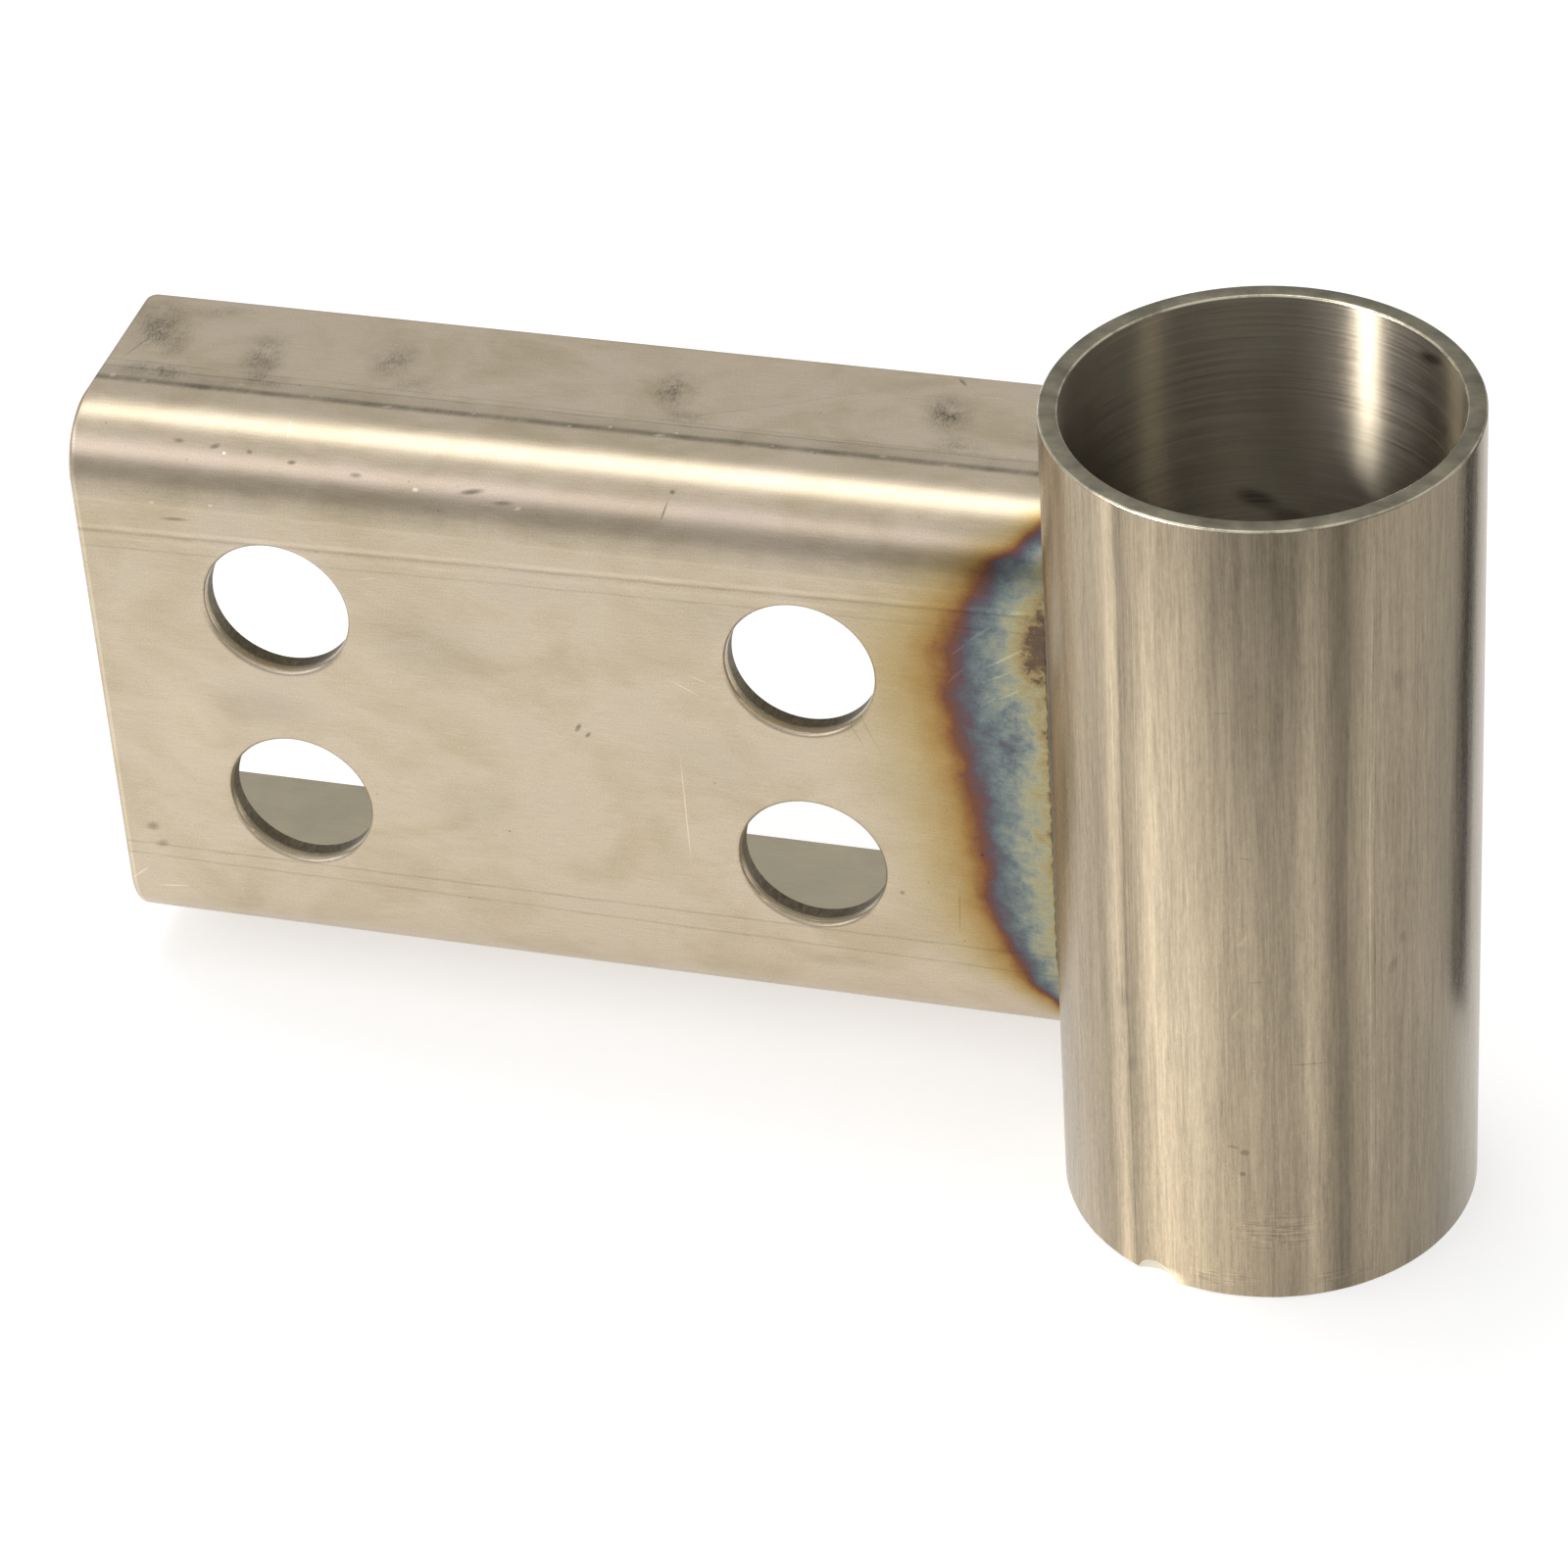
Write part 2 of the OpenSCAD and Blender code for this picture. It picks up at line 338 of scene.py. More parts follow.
# Each is (waves in a mm along, across and down the sheet, detail, roughness, distortion)
SHEET_NOISE = [
    # Rolling grain: lines about 0.12 mm wide and 5 mm long, a little coarser than real ones
    # so that they show
    ((0.30, 6.0, 1.0), 5.0, 0.75, 0.0),
    # Fine tooth of the pickled surface, 0.15 mm
    ((5.5, 5.5, 5.5), 3.0, 0.6, 0.0),
    # Cloudy patches, 8 to 20 mm, longer along the sheet
    ((0.08, 0.12, 0.1), 5.0, 0.62, 0.5),
    # Patches where a rub mark took
    ((0.42, 0.42, 0.42), 4.0, 0.6, 0.0),
    # Wander of the press lines
    ((0.15, 0, 0), 6.0, 0.7, 0.0),
    # Uneven edge of the heat tint, and the blotches in it
    ((0.25, 0.25, 0.25), 4.0, 0.45, 0.0),
    ((0.55, 0.55, 0.55), 6.0, 0.7, 0.0),
]
noises = []
for waves, detail, rough, distortion in SHEET_NOISE:
    drawn = add(tree, "VectorMath", [blank, waves], operation="MULTIPLY")
    setting = {"Vector": drawn, "Scale": 1.0, "Detail": detail, "Roughness": rough, "Distortion": distortion}
    noises.append(add(tree, "TexNoise", setting))
grain, tooth, cloud, patchy, wander, uneven, blotch = noises
print("sheet has", len(noises), "noise patterns")

# %% Pits and rub marks
# Small pits, one in about 6 mm, most of them faint
pit = add(tree, "TexVoronoi", {"Vector": blank, "Scale": 0.42, "Randomness": 1.0})
pit_size = add(tree, "MapRange", [pit.outputs["Color"], 0.35, 1.0, 0.0, 0.11])
pit_gap = add(tree, "Math", [pit_size, pit.outputs["Distance"]], operation="SUBTRACT")
pit_mask = add(tree, "MapRange", [pit_gap, 0.0, 0.05, 0.0, 1.0])
# Rub marks are made of short strokes in two directions, so a smudge looks rubbed on
strokes = None
for lean in (62, -74):
    leaning = {"Vector": blank, "Angle": math.radians(lean)}
    drawn = add(tree, "VectorRotate", leaning, rotation_type="Z_AXIS")
    drawn = add(tree, "VectorMath", [drawn, (0.8, 5.0, 1.0)], operation="MULTIPLY")
    stroke = add(tree, "TexNoise", {"Vector": drawn, "Scale": 1.0, "Detail": 5.0, "Roughness": 0.7})
    stroke = add(tree, "MapRange", [stroke, 0.42, 0.66, 0.0, 1.0])
    strokes = stroke if strokes is None else add(tree, "Math", [strokes, stroke], operation="MAXIMUM")
patch = add(tree, "MapRange", [patchy, 0.32, 0.56, 0.35, 1.4])
smudge = add(tree, "Math", [spots(tree, blank, SMUDGES, 0.0), patch], operation="MULTIPLY")
darkening = add(tree, "Math", [strokes, -0.50, -0.12], operation="MULTIPLY_ADD")
smudge = add(tree, "Math", [smudge, darkening], operation="MULTIPLY")
for more, edge in ((STAINS, 0.15), (SPECKS, 0.3)):
    smudge = add(tree, "Math", [smudge, spots(tree, blank, more, edge)], operation="ADD")
scratch = spots(tree, blank, SCRATCHES, 0.5)
print("marks on the sheet:", len(SMUDGES) + len(STAINS) + len(SPECKS) + len(SCRATCHES))

# %% Press lines and painted shade bands, which wander a little and fade here and there
lines = None
for place, slope, half, strength in PRESS_LINES:
    line = add(tree, "Math", [along, slope, place + 75 * slope - 0.25], operation="MULTIPLY_ADD")
    line = add(tree, "Math", [wander, 0.5, line], operation="MULTIPLY_ADD")
    gap = add(tree, "Math", [add(tree, "Math", [across, line], operation="SUBTRACT")], operation="ABSOLUTE")
    soft = add(tree, "MapRange", [gap, half * 0.1, half * 1.6, strength, 0.0],
               interpolation_type="SMOOTHSTEP")
    lines = soft if lines is None else add(tree, "Math", [lines, soft], operation="ADD")
line_break = add(tree, "MapRange", [wander, 0.35, 0.6, 0.55, 1.15])
lines = add(tree, "Math", [lines, line_break], operation="MULTIPLY")
print("press lines:", len(PRESS_LINES))

# %% Heat on the sheet
width_key = add(tree, "Math", [across, 1 / BLANK_WIDTH], operation="MULTIPLY")
width_stops = [(place, width / WIDEST_TINT) for place, width in TINT_WIDTH]
width = fill_ramp(add(tree, "ValToRGB", [width_key]), width_stops, BLANK_WIDTH)
width = add(tree, "Math", [width, WIDEST_TINT], operation="MULTIPLY")
from_joint = add(tree, "Math", [tube_end / MM, along], operation="SUBTRACT")
shift = add(tree, "Math", [uneven, 2.6, -1.3], operation="MULTIPLY_ADD")
ragged = add(tree, "Math", [from_joint, shift], operation="ADD")
heat = add(tree, "Math", [ragged, width], operation="DIVIDE")
# Close to the joint the film is uneven, in blotches of 1 to 3 mm
inner = add(tree, "MapRange", [heat, 0.15, 0.95, 1.5, 0.12])
blotch = add(tree, "Math", [add(tree, "Math", [blotch, -0.5], operation="ADD"), inner], operation="MULTIPLY")
# Hotter beside the start of the weld and down the joint, with one cooler pocket between
POCKETS = [(-24.6, 36.6, 4.8, 7.8, 0, -0.35), (-22.6, 60.0, 2.6, 24.0, 0, -0.50),
           (-27.6, 49.0, 3.6, 9.0, 0, 0.17)]
for change in (blotch, spots(tree, blank, POCKETS, 0.0)):
    heat = add(tree, "Math", [heat, change], operation="ADD")
temper = temper_colour(tree, heat)
tinted = add(tree, "MapRange", [heat, 1.1, HEAT_REACH, 1.0, 0.0], interpolation_type="SMOOTHSTEP")
# The flanges stayed cool
below_top = add(tree, "MapRange", [across, 13.0, 20.0, 0.0, 1.0], interpolation_type="SMOOTHSTEP")
above_low = add(tree, "MapRange", [across, 90.0, 98.0, 1.0, 0.0], interpolation_type="SMOOTHSTEP")
on_web = add(tree, "Math", [below_top, above_low], operation="MULTIPLY")
tinted = add(tree, "Math", [tinted, on_web], operation="MULTIPLY")
print("temper colours:", len(TEMPER), "stops")

# %% Sheet: colour, gloss and relief put together
tone = tone_from(tree, [(cloud, 0.30), (grain, 0.46), (tooth, 0.56)])
for pattern in (smudge, scratch, lines):
    tone = add(tree, "Math", [tone, pattern], operation="ADD")
tone = add(tree, "Math", [pit_mask, -0.35, tone], operation="MULTIPLY_ADD")
bare = fill_ramp(add(tree, "ValToRGB", [cloud]), [(0.35, "c5b69b"), (0.55, "cbbda6"), (0.7, "c7b9a6")])
mixed = add(tree, "Mix", {0: tinted, 6: bare, 7: temper}, **COLOURS).outputs[2]
colour = add(tree, "Mix", {0: 1.0, 6: mixed, 7: tone}, **TONED).outputs[2]
rough = add(tree, "Math", [cloud, 0.16, 0.22], operation="MULTIPLY_ADD")
rough = add(tree, "Math", [grain, 0.08, rough], operation="MULTIPLY_ADD")
rough = add(tree, "Math", [smudge, -0.3, rough], operation="MULTIPLY_ADD")
height = add(tree, "Math", [tooth, 0.5], operation="MULTIPLY")
for pattern, share in ((grain, 0.5), (lines, 3.0), (pit_mask, -4.0)):
    height = add(tree, "Math", [pattern, share, height], operation="MULTIPLY_ADD")
finish_metal(tree, shader, colour, rough, height, 0.5, 0.006)
print("sheet material has", len(tree.nodes), "nodes")

# %% [markdown]
# ## Sheared and punched edges
# A punch first shears a bright band, then the steel tears and the rest of the wall is dull
# and grey-brown. The edge of the sheet all round the blank was cut the same way.

# %% Punched and sheared steel
cut_edge, tree, shader = metal_material("Punched stainless edge")
blank = add(tree, "Attribute", attribute_name="blank").outputs["Vector"]
inward = add(tree, "SeparateXYZ", [blank]).outputs[2]
torn_place = add(tree, "VectorMath", [blank, (2.2, 2.2, 0.9)], operation="MULTIPLY")
torn = add(tree, "TexNoise", {"Vector": torn_place, "Scale": 1.0, "Detail": 5.0, "Roughness": 0.7})
# The bright band ends 1.35 to 1.75 mm down, at a ragged line
ragged = add(tree, "Math", [torn, 0.9, inward], operation="MULTIPLY_ADD")
zone = add(tree, "MapRange", [ragged, 1.35, 1.75, 0.0, 1.0], interpolation_type="SMOOTHSTEP")
torn_tone = fill_ramp(add(tree, "ValToRGB", [torn]), [(0.3, "574f40"), (0.6, "786e5b"), (0.8, "938872")])
sheared = add(tree, "Mix", {0: zone, 6: paint("a0937a"), 7: torn_tone}, **COLOURS).outputs[2]
rough = add(tree, "MapRange", [zone, 0.0, 1.0, 0.28, 0.5])
finish_metal(tree, shader, sheared, rough, torn, 0.6, 0.05)
print("edge material has", len(tree.nodes), "nodes")

# %% The inside of the channel: the same sheet, less handled, greyer and a little duller
sheet_inside, tree, shader = metal_material("Inside of the stainless channel")
blank = add(tree, "Attribute", attribute_name="blank").outputs["Vector"]
along, across = add(tree, "SeparateXYZ", [blank]).outputs[:2]
grain_place = add(tree, "VectorMath", [blank, (0.3, 6.0, 1.0)], operation="MULTIPLY")
grain = add(tree, "TexNoise", {"Vector": grain_place, "Scale": 1.0, "Detail": 4.0, "Roughness": 0.6})
cloud = add(tree, "TexNoise", {"Vector": blank, "Scale": 0.16, "Detail": 5.0, "Roughness": 0.62})
inside_tone = fill_ramp(add(tree, "ValToRGB", [cloud]), [(0.3, "ada58f"), (0.7, "b9af96")])
tone = tone_from(tree, [(grain, 0.24)], 0.98)
shade = add(tree, "Mix", {0: 1.0, 6: inside_tone, 7: tone}, **TONED).outputs[2]
# The tint shows through to the back of the web, paler and narrower
from_joint = add(tree, "Math", [tube_end / MM, along], operation="SUBTRACT")
uneven = add(tree, "TexNoise", {"Vector": blank, "Scale": 0.28, "Detail": 6.0, "Roughness": 0.6})
ragged = add(tree, "Math", [uneven, 3.0, from_joint], operation="MULTIPLY_ADD")
off_centre = add(tree, "Math", [add(tree, "Math", [across, 55.0], operation="SUBTRACT")],
                 operation="ABSOLUTE")
half_tint = add(tree, "MapRange", [off_centre, 10.0, 36.0, 12.5, 1.0], interpolation_type="SMOOTHSTEP")
heat = add(tree, "Math", [ragged, half_tint], operation="DIVIDE")
tinted = add(tree, "MapRange", [heat, 0.9, 1.6, 0.8, 0.0], interpolation_type="SMOOTHSTEP")
shade = add(tree, "Mix", {0: tinted, 6: shade, 7: temper_colour(tree, heat)}, **COLOURS).outputs[2]
rough = add(tree, "Math", [cloud, 0.16, 0.30], operation="MULTIPLY_ADD")
finish_metal(tree, shader, shade, rough, grain, 0.5, 0.006)
print("inside material has", len(tree.nodes), "nodes")

# %% [markdown]
# ## Drawn tube
# The tube was rolled from strip, welded along its seam and drawn through dies. The dies leave
# bands and hairlines along its length, so every pattern here is stretched a long way down Z,
# and the bands and the marks read the angle round the tube. The bands also carry a painted
# highlight and a painted reflection of the floor's light and shade.

# %% Bands round the outside of the tube, partly painted highlight and reflection
# (degrees round the tube, tone): where the die left it bright or grey, and painted light: the
# bright band near -108 degrees is a painted highlight, and the darker stretch from about -75 to
# -10 degrees is a painted reflection of the shaded floor. PLAIN_BAND changes nothing.
BANDS = [
    (-180, 0.57), (-150, 0.50), (-138, 0.56), (-126, 0.46), (-121, 0.82), (-117, 0.44), (-114, 0.60),
    (-108, 0.95), (-103, 0.75), (-97, 0.77), (-92, 0.59), (-75, 0.38), (-70, 0.41), (-67, 0.57), (-64, 0.42),
    (-59, 0.23), (-51, 0.42), (-38, 0.35), (-24, 0.31), (-10, 0.37), (4, 0.50), (24, 0.59), (100, 0.65),
    (180, 0.57),
]
PLAIN_BAND = 0.625
SEAM = -111.0
# One degree round the tube, in mm
DEGREE = tube_radius / MM * math.pi / 180

tube_outside, tree, shader = metal_material("Drawn stainless tube")
place = add(tree, "TexCoord").outputs["Object"]
in_mm = add(tree, "VectorMath", [place, (1 / MM, 1 / MM, 1 / MM)], operation="MULTIPLY")
x, y, up = add(tree, "SeparateXYZ", [in_mm]).outputs[:3]
turn = add(tree, "Math", [add(tree, "Math", [y, x], operation="ARCTAN2"), 180 / math.pi],
           operation="MULTIPLY")
# The lines wander by about a degree from end to end
sway = add(tree, "TexNoise", {"Vector": place, "Scale": 22.0, "Detail": 2.0})
turn = add(tree, "Math", [turn, -1.2], operation="ADD")
turn = add(tree, "Math", [sway, 2.4, turn], operation="MULTIPLY_ADD")
# (waves in a mm, detail, roughness): hairlines 0.3 mm wide, comb lines of 0.2 mm, streaks of
# 1.3 mm and specks of 0.6 mm. They read the place, not the angle, so they close up round the tube.
TUBE_NOISE = [
    ((3.6, 3.6, 0.108), 5.0, 0.8), ((5.0, 5.0, 0.6), 4.0, 0.75),
    ((0.75, 0.75, 0.0375), 3.0, 0.55), ((1.8, 1.8, 0.9), 5.0, 0.75),
]
noises = []
for waves, detail, rough in TUBE_NOISE:
    drawn = add(tree, "VectorMath", [in_mm, waves], operation="MULTIPLY")
    setting = {"Vector": drawn, "Scale": 1.0, "Detail": detail, "Roughness": rough}
    noises.append(add(tree, "TexNoise", setting))
hair, comb, streak, speck = noises
band_key = add(tree, "MapRange", [turn, -180.0, 180.0, 0.0, 1.0])
band = fill_ramp(add(tree, "ValToRGB", [band_key]), [(angle + 180, tone) for angle, tone in BANDS], 360)
band = add(tree, "Math", [band, 1 / PLAIN_BAND], operation="MULTIPLY")
banded = add(tree, "Mix", {0: 1.0, 6: paint("b9aa91"), 7: band}, **TONED).outputs[2]
print("tube has", len(BANDS), "bands")

# %% Seam, scuffs and stains on the tube, and a painted glint at its foot
# Each is (degrees round, mm up, half length round, half length up, turn, strength)
TUBE_MARKS = [
    # The first mark lightens the foot beside the grinding mark: a painted glint that widens the mark's
    # highlight
    (-106.5, -46.2, 2.0, 1.5, 0, 0.70), (-104.8, -30, 0.07, 40, 0, -0.14), (-107.4, -16, 0.07, 34, 0, -0.12),
    (-118.0, 0, 0.28, 60, 0, -0.26), (-113.4, 0, 0.10, 60, 0, 0.16), (-111.6, -8, 0.07, 50, 0, 0.16),
    (-110.2, -12, 0.07, 45, 0, -0.10), (-109.0, -20, 0.07, 40, 0, 0.14), (-50.0, 0, 0.14, 60, 0, 0.24),
    (-48.6, -4, 0.10, 44, 0, -0.20), (-57.0, -5, 0.5, 48, 0, -0.10), (-68.4, 2, 0.14, 44, 0, 0.07),
    (-84.8, -27.6, 0.7, 0.5, 0, -0.36), (-85.5, -30.4, 0.45, 0.4, 0, -0.40),
    (-88.0, -27.0, 0.9, 0.25, 5, -0.26), (-117.0, -20, 0.8, 1.8, 10, -0.18),
    (-43.0, -7.0, 0.7, 1.3, 20, -0.22), (-40.0, -4.0, 0.5, 1.0, 10, -0.20),
    (-67.0, -16.5, 2.6, 0.10, 4, -0.32), (-83.0, 9.0, 0.9, 0.14, 8, -0.26),
    (-81.0, -6.0, 1.1, 0.16, -6, -0.20), (-89.0, 26.0, 1.4, 0.14, -8, -0.16),
    (-92.0, 18.0, 0.5, 1.0, 30, 0.10), (-84.0, -1.0, 0.3, 1.2, 35, 0.18), (-86.0, -10.0, 0.3, 1.4, 35, 0.16),
    (-42.0, 27.0, 0.9, 1.6, 0, -0.20), (-120.0, -12, 1.2, 2.0, 0, -0.16),
]
# Short scuffs round the tube near its foot, where it was held
SCUFFED = [(-77.0, -38.0, 5.6, 3.4, 0, 1.0), (-92.0, -44.5, 5.0, 1.6, -6, 0.8),
           (-60.0, -44.6, 5.0, 1.2, 6, 0.7)]


def round_tube(marks, degree):
    """Marks with their angles turned to millimetres round the tube."""
    return [(mark[0] * degree, *mark[1:]) for mark in marks]


unrolled = add(tree, "CombineXYZ", [add(tree, "Math", [turn, DEGREE], operation="MULTIPLY"), up, 0.0])
broken = add(tree, "MapRange", [speck, 0.30, 0.62, 0.45, 1.2])
marks = add(tree, "Math", [spots(tree, unrolled, round_tube(TUBE_MARKS, DEGREE), 0.35), broken],
            operation="MULTIPLY")
scuff_place = add(tree, "VectorMath", [unrolled, (0.35, 3.4, 0)], operation="MULTIPLY")
scuff = add(tree, "TexNoise", {"Vector": scuff_place, "Scale": 1.0, "Detail": 3.0, "Roughness": 0.7})
scuff = add(tree, "MapRange", [scuff, 0.42, 0.66, 0.16, -0.34])
scuff_area = spots(tree, unrolled, round_tube(SCUFFED, DEGREE), 0.25)
scuff = add(tree, "Math", [scuff, scuff_area], operation="MULTIPLY")
print("marks on the tube:", len(TUBE_MARKS) + len(SCUFFED))

# %% Heat on the tube, beside the weld and behind it
joint_turn = math.degrees(math.atan2(web_front, -math.sqrt(tube_radius ** 2 - web_front ** 2)))
# Angle from the weld, the short way round
from_weld = add(tree, "Math", [turn, joint_turn + 8], operation="SUBTRACT")
from_weld = add(tree, "Math", [from_weld, -180.0, 180.0], operation="WRAP")
from_weld = add(tree, "Math", [from_weld], operation="ABSOLUTE")
arc = add(tree, "Math", [from_weld, DEGREE], operation="MULTIPLY")
arc = add(tree, "Math", [sway, 3.0, add(tree, "Math", [arc, -1.5], operation="ADD")],
          operation="MULTIPLY_ADD")
middle = (weld_box[0].z + weld_box[1].z) / 2 / MM
off_middle = add(tree, "Math", [add(tree, "Math", [up, middle], operation="SUBTRACT")], operation="ABSOLUTE")
half_tint = add(tree, "MapRange", [off_middle, 8.0, 30.0, 3.6, 0.8], interpolation_type="SMOOTHSTEP")
heat = add(tree, "Math", [arc, half_tint], operation="DIVIDE")
tinted = add(tree, "MapRange", [heat, 0.95, 1.7, 1.0, 0.0], interpolation_type="SMOOTHSTEP")
# No tint above or below the weld
beside_weld = add(tree, "MapRange", [off_middle, 21.0, 28.0, 1.0, 0.0], interpolation_type="SMOOTHSTEP")
tinted = add(tree, "Math", [tinted, beside_weld], operation="MULTIPLY")
print("the joint is at", round(joint_turn, 1), "degrees round the tube")

# %% Tube: colour, gloss and relief put together
tone = tone_from(tree, [(hair, 1.10), (comb, 0.60), (streak, 0.60), (speck, 0.30)])
for pattern in (marks, scuff):
    tone = add(tree, "Math", [tone, pattern], operation="ADD")
mixed = add(tree, "Mix", {0: tinted, 6: banded, 7: temper_colour(tree, heat)}, **COLOURS).outputs[2]
colour = add(tree, "Mix", {0: 1.0, 6: mixed, 7: tone}, **TONED).outputs[2]
rough = add(tree, "Math", [streak, 0.16, 0.14], operation="MULTIPLY_ADD")
rough = add(tree, "Math", [speck, 0.10, rough], operation="MULTIPLY_ADD")
height = add(tree, "Math", [streak, 2.5], operation="MULTIPLY")
for pattern, share in ((hair, 1.0), (marks, 3.0), (scuff, 3.0)):
    height = add(tree, "Math", [pattern, share, height], operation="MULTIPLY_ADD")
finish_metal(tree, shader, colour, rough, height, 0.5, 0.010)
print("tube material has", len(tree.nodes), "nodes")

# %% The bore: a mandrel left fine rings round it, so it is duller and browner
tube_bore, tree, shader = metal_material("Bore of the drawn tube")
place = add(tree, "TexCoord").outputs["Object"]
in_mm = add(tree, "VectorMath", [place, (1 / MM, 1 / MM, 1 / MM)], operation="MULTIPLY")
x, y, up = add(tree, "SeparateXYZ", [in_mm]).outputs[:3]
ring_place = add(tree, "VectorMath", [in_mm, (0.05, 0.05, 3.2)], operation="MULTIPLY")
rings = add(tree, "TexNoise", {"Vector": ring_place, "Scale": 1.0, "Detail": 4.0, "Roughness": 0.7})
dirt = add(tree, "TexNoise", {"Vector": in_mm, "Scale": 0.07, "Detail": 4.0, "Roughness": 0.5})
bore_tone = fill_ramp(add(tree, "ValToRGB", [dirt]), [(0.3, "8f8778"), (0.5, "9a9282"), (0.7, "a29a88")])
tone = tone_from(tree, [(rings, 0.8)])
shade = add(tree, "Mix", {0: 1.0, 6: bore_tone, 7: tone}, **TONED).outputs[2]
# Two dark smears, one under the rim and one halfway down, and painted shade on the left side
BORE_DEGREE = bore_radius / MM * math.pi / 180
SMEARS = [
    (45, 44.8, 3.0, 0.9, 18, -0.62), (104, 23.0, 3.4, 1.5, -24, -0.62), (95, 21.0, 2.8, 1.3, 0, -0.5),
    (166, 24.0, 9.0, 22.0, 0, -0.26),
]
bore_turn = add(tree, "Math", [y, x], operation="ARCTAN2")
round_bore = add(tree, "Math", [bore_turn, bore_radius / MM], operation="MULTIPLY")
unrolled = add(tree, "CombineXYZ", [round_bore, up, 0.0])
smears = spots(tree, unrolled, round_tube(SMEARS, BORE_DEGREE), 0.2)
streaky = add(tree, "MapRange", [rings, 0.35, 0.6, 0.5, 1.2])
smears = add(tree, "Math", [smears, streaky], operation="MULTIPLY")
smeared = add(tree, "Math", [smears, 1.0], operation="ADD")
shade = add(tree, "Mix", {0: 1.0, 6: shade, 7: smeared}, **TONED).outputs[2]
rough = add(tree, "Math", [rings, 0.30, 0.26], operation="MULTIPLY_ADD")
# The rings are finer than a pixel: they smear each reflection up and down the wall
shader.inputs["Anisotropic"].default_value = 1.0
shader.inputs["Anisotropic Rotation"].default_value = 0.25
tangent = add(tree, "Tangent", direction_type="RADIAL", axis="Z")
tree.links.new(tangent.outputs[0], shader.inputs["Tangent"])
finish_metal(tree, shader, shade, rough, rings, 0.9, 0.03)
print("bore material has", len(tree.nodes), "nodes")

# %% The ends: sawn square and rubbed with a deburring wheel, grey and fairly dull
tube_ends, tree, shader = metal_material("Sawn and deburred tube end")
place = add(tree, "TexCoord").outputs["Object"]
saw_place = add(tree, "VectorMath", [place, (0.6 / MM, 3.0 / MM, 0.2 / MM)], operation="MULTIPLY")
saw = add(tree, "TexNoise", {"Vector": saw_place, "Scale": 1.0, "Detail": 4.0, "Roughness": 0.65})
rub = add(tree, "TexNoise", {"Vector": place, "Scale": 0.32 / MM, "Detail": 4.0, "Roughness": 0.6})
end_tone = fill_ramp(add(tree, "ValToRGB", [rub]), [(0.3, "6f6b5c"), (0.5, "827d6c"), (0.7, "948d79")])
tone = tone_from(tree, [(saw, 0.4)], 0.98)
shade = add(tree, "Mix", {0: 1.0, 6: end_tone, 7: tone}, **TONED).outputs[2]
rough = add(tree, "Math", [rub, 0.24, 0.26], operation="MULTIPLY_ADD")
# The rounded corners, where the normal leans, are polished by the wheel: glossier, and paler
# in colour, which is partly a painted highlight along the rims
lean = add(tree, "SeparateXYZ", [add(tree, "NewGeometry").outputs["Normal"]]).outputs["Z"]
lean = add(tree, "Math", [lean], operation="ABSOLUTE")
corner = add(tree, "MapRange", [lean, 0.90, 0.97, 1.0, 0.0])
polish = add(tree, "MapRange", [rub, 0.36, 0.56, 0.30, 1.0])
corner = add(tree, "Math", [corner, polish], operation="MULTIPLY")
shade = add(tree, "Mix", {0: corner, 6: shade, 7: paint("d2cab4")}, **COLOURS).outputs[2]
rough = add(tree, "Mix", {0: corner, 2: rough, 3: 0.22}, data_type="FLOAT")
finish_metal(tree, shader, shade, rough, saw, 0.6, 0.02)
print("end material has", len(tree.nodes), "nodes")

# %% The grinding mark: freshly cut, so it is the brightest and whitest metal on the tube
tube_ground, tree, shader = metal_material("Freshly ground stainless")
place = add(tree, "TexCoord").outputs["Object"]
grit_place = add(tree, "VectorMath", [place, (1 / MM, 1 / MM, 7.0 / MM)], operation="MULTIPLY")
grit = add(tree, "TexNoise", {"Vector": grit_place, "Scale": 1.0, "Detail": 4.0, "Roughness": 0.65})
ground_tone = fill_ramp(add(tree, "ValToRGB", [grit]), [(0.3, "d0c9b8"), (0.7, "ece6d8")])
finish_metal(tree, shader, ground_tone, 0.30, grit, 0.5, 0.02)
print("ground material has", len(tree.nodes), "nodes")

# %% [markdown]
# ## The pivot tube
# A tube is a wall section carried round a circle, and that is how it is made here: a rectangle
# as wide as the wall and as high as the tube, its corners rounded as deburring leaves them,
# swept round the middle of the wall. It could be a cylinder with a hole, but then the rounded
# edges would be bevels added later. The grinding mark at the foot of the seam is cut last.

# %% Sweep the wall round the bore
# The grinding wheel: its radius, and how far its centre lies under the foot and outside the
# tube, which leaves a mark 1 mm deep at the foot
WHEEL_RADIUS, WHEEL_DROP, WHEEL_OUT = 3.6 * MM, 0.6 * MM, 2.5496 * MM
TUBE_SIZES = {
    "Bore radius": bore_radius, "Wall": wall, "Length": tube_length, "Edge": 0.3 * MM,
    "Mark radius": WHEEL_RADIUS, "Mark out": WHEEL_OUT + tube_radius, "Mark drop": WHEEL_DROP,
    "Seam": math.radians(SEAM),
}
tree, size = start_tree("tube by sweep", TUBE_SIZES)
half_wall = add(tree, "Math", [size["Wall"], 0.5], operation="MULTIPLY")
mid_radius = add(tree, "Math", [size["Bore radius"], half_wall], operation="ADD")
circle = add(tree, "GeometryNodeCurvePrimitiveCircle", {"Resolution": 320, "Radius": mid_radius})
section = add(tree, "GeometryNodeCurvePrimitiveQuadrilateral",
              {"Width": size["Wall"], "Height": size["Length"]})
eased = add(tree, "GeometryNodeFilletCurve", {"Curve": section, "Count": 4, "Radius": size["Edge"]},
            mode="POLY")
swept = add(tree, "GeometryNodeCurveToMesh", {"Curve": circle, "Profile Curve": eased})
print("the tube is", round(tube_length / MM, 2), "mm long")

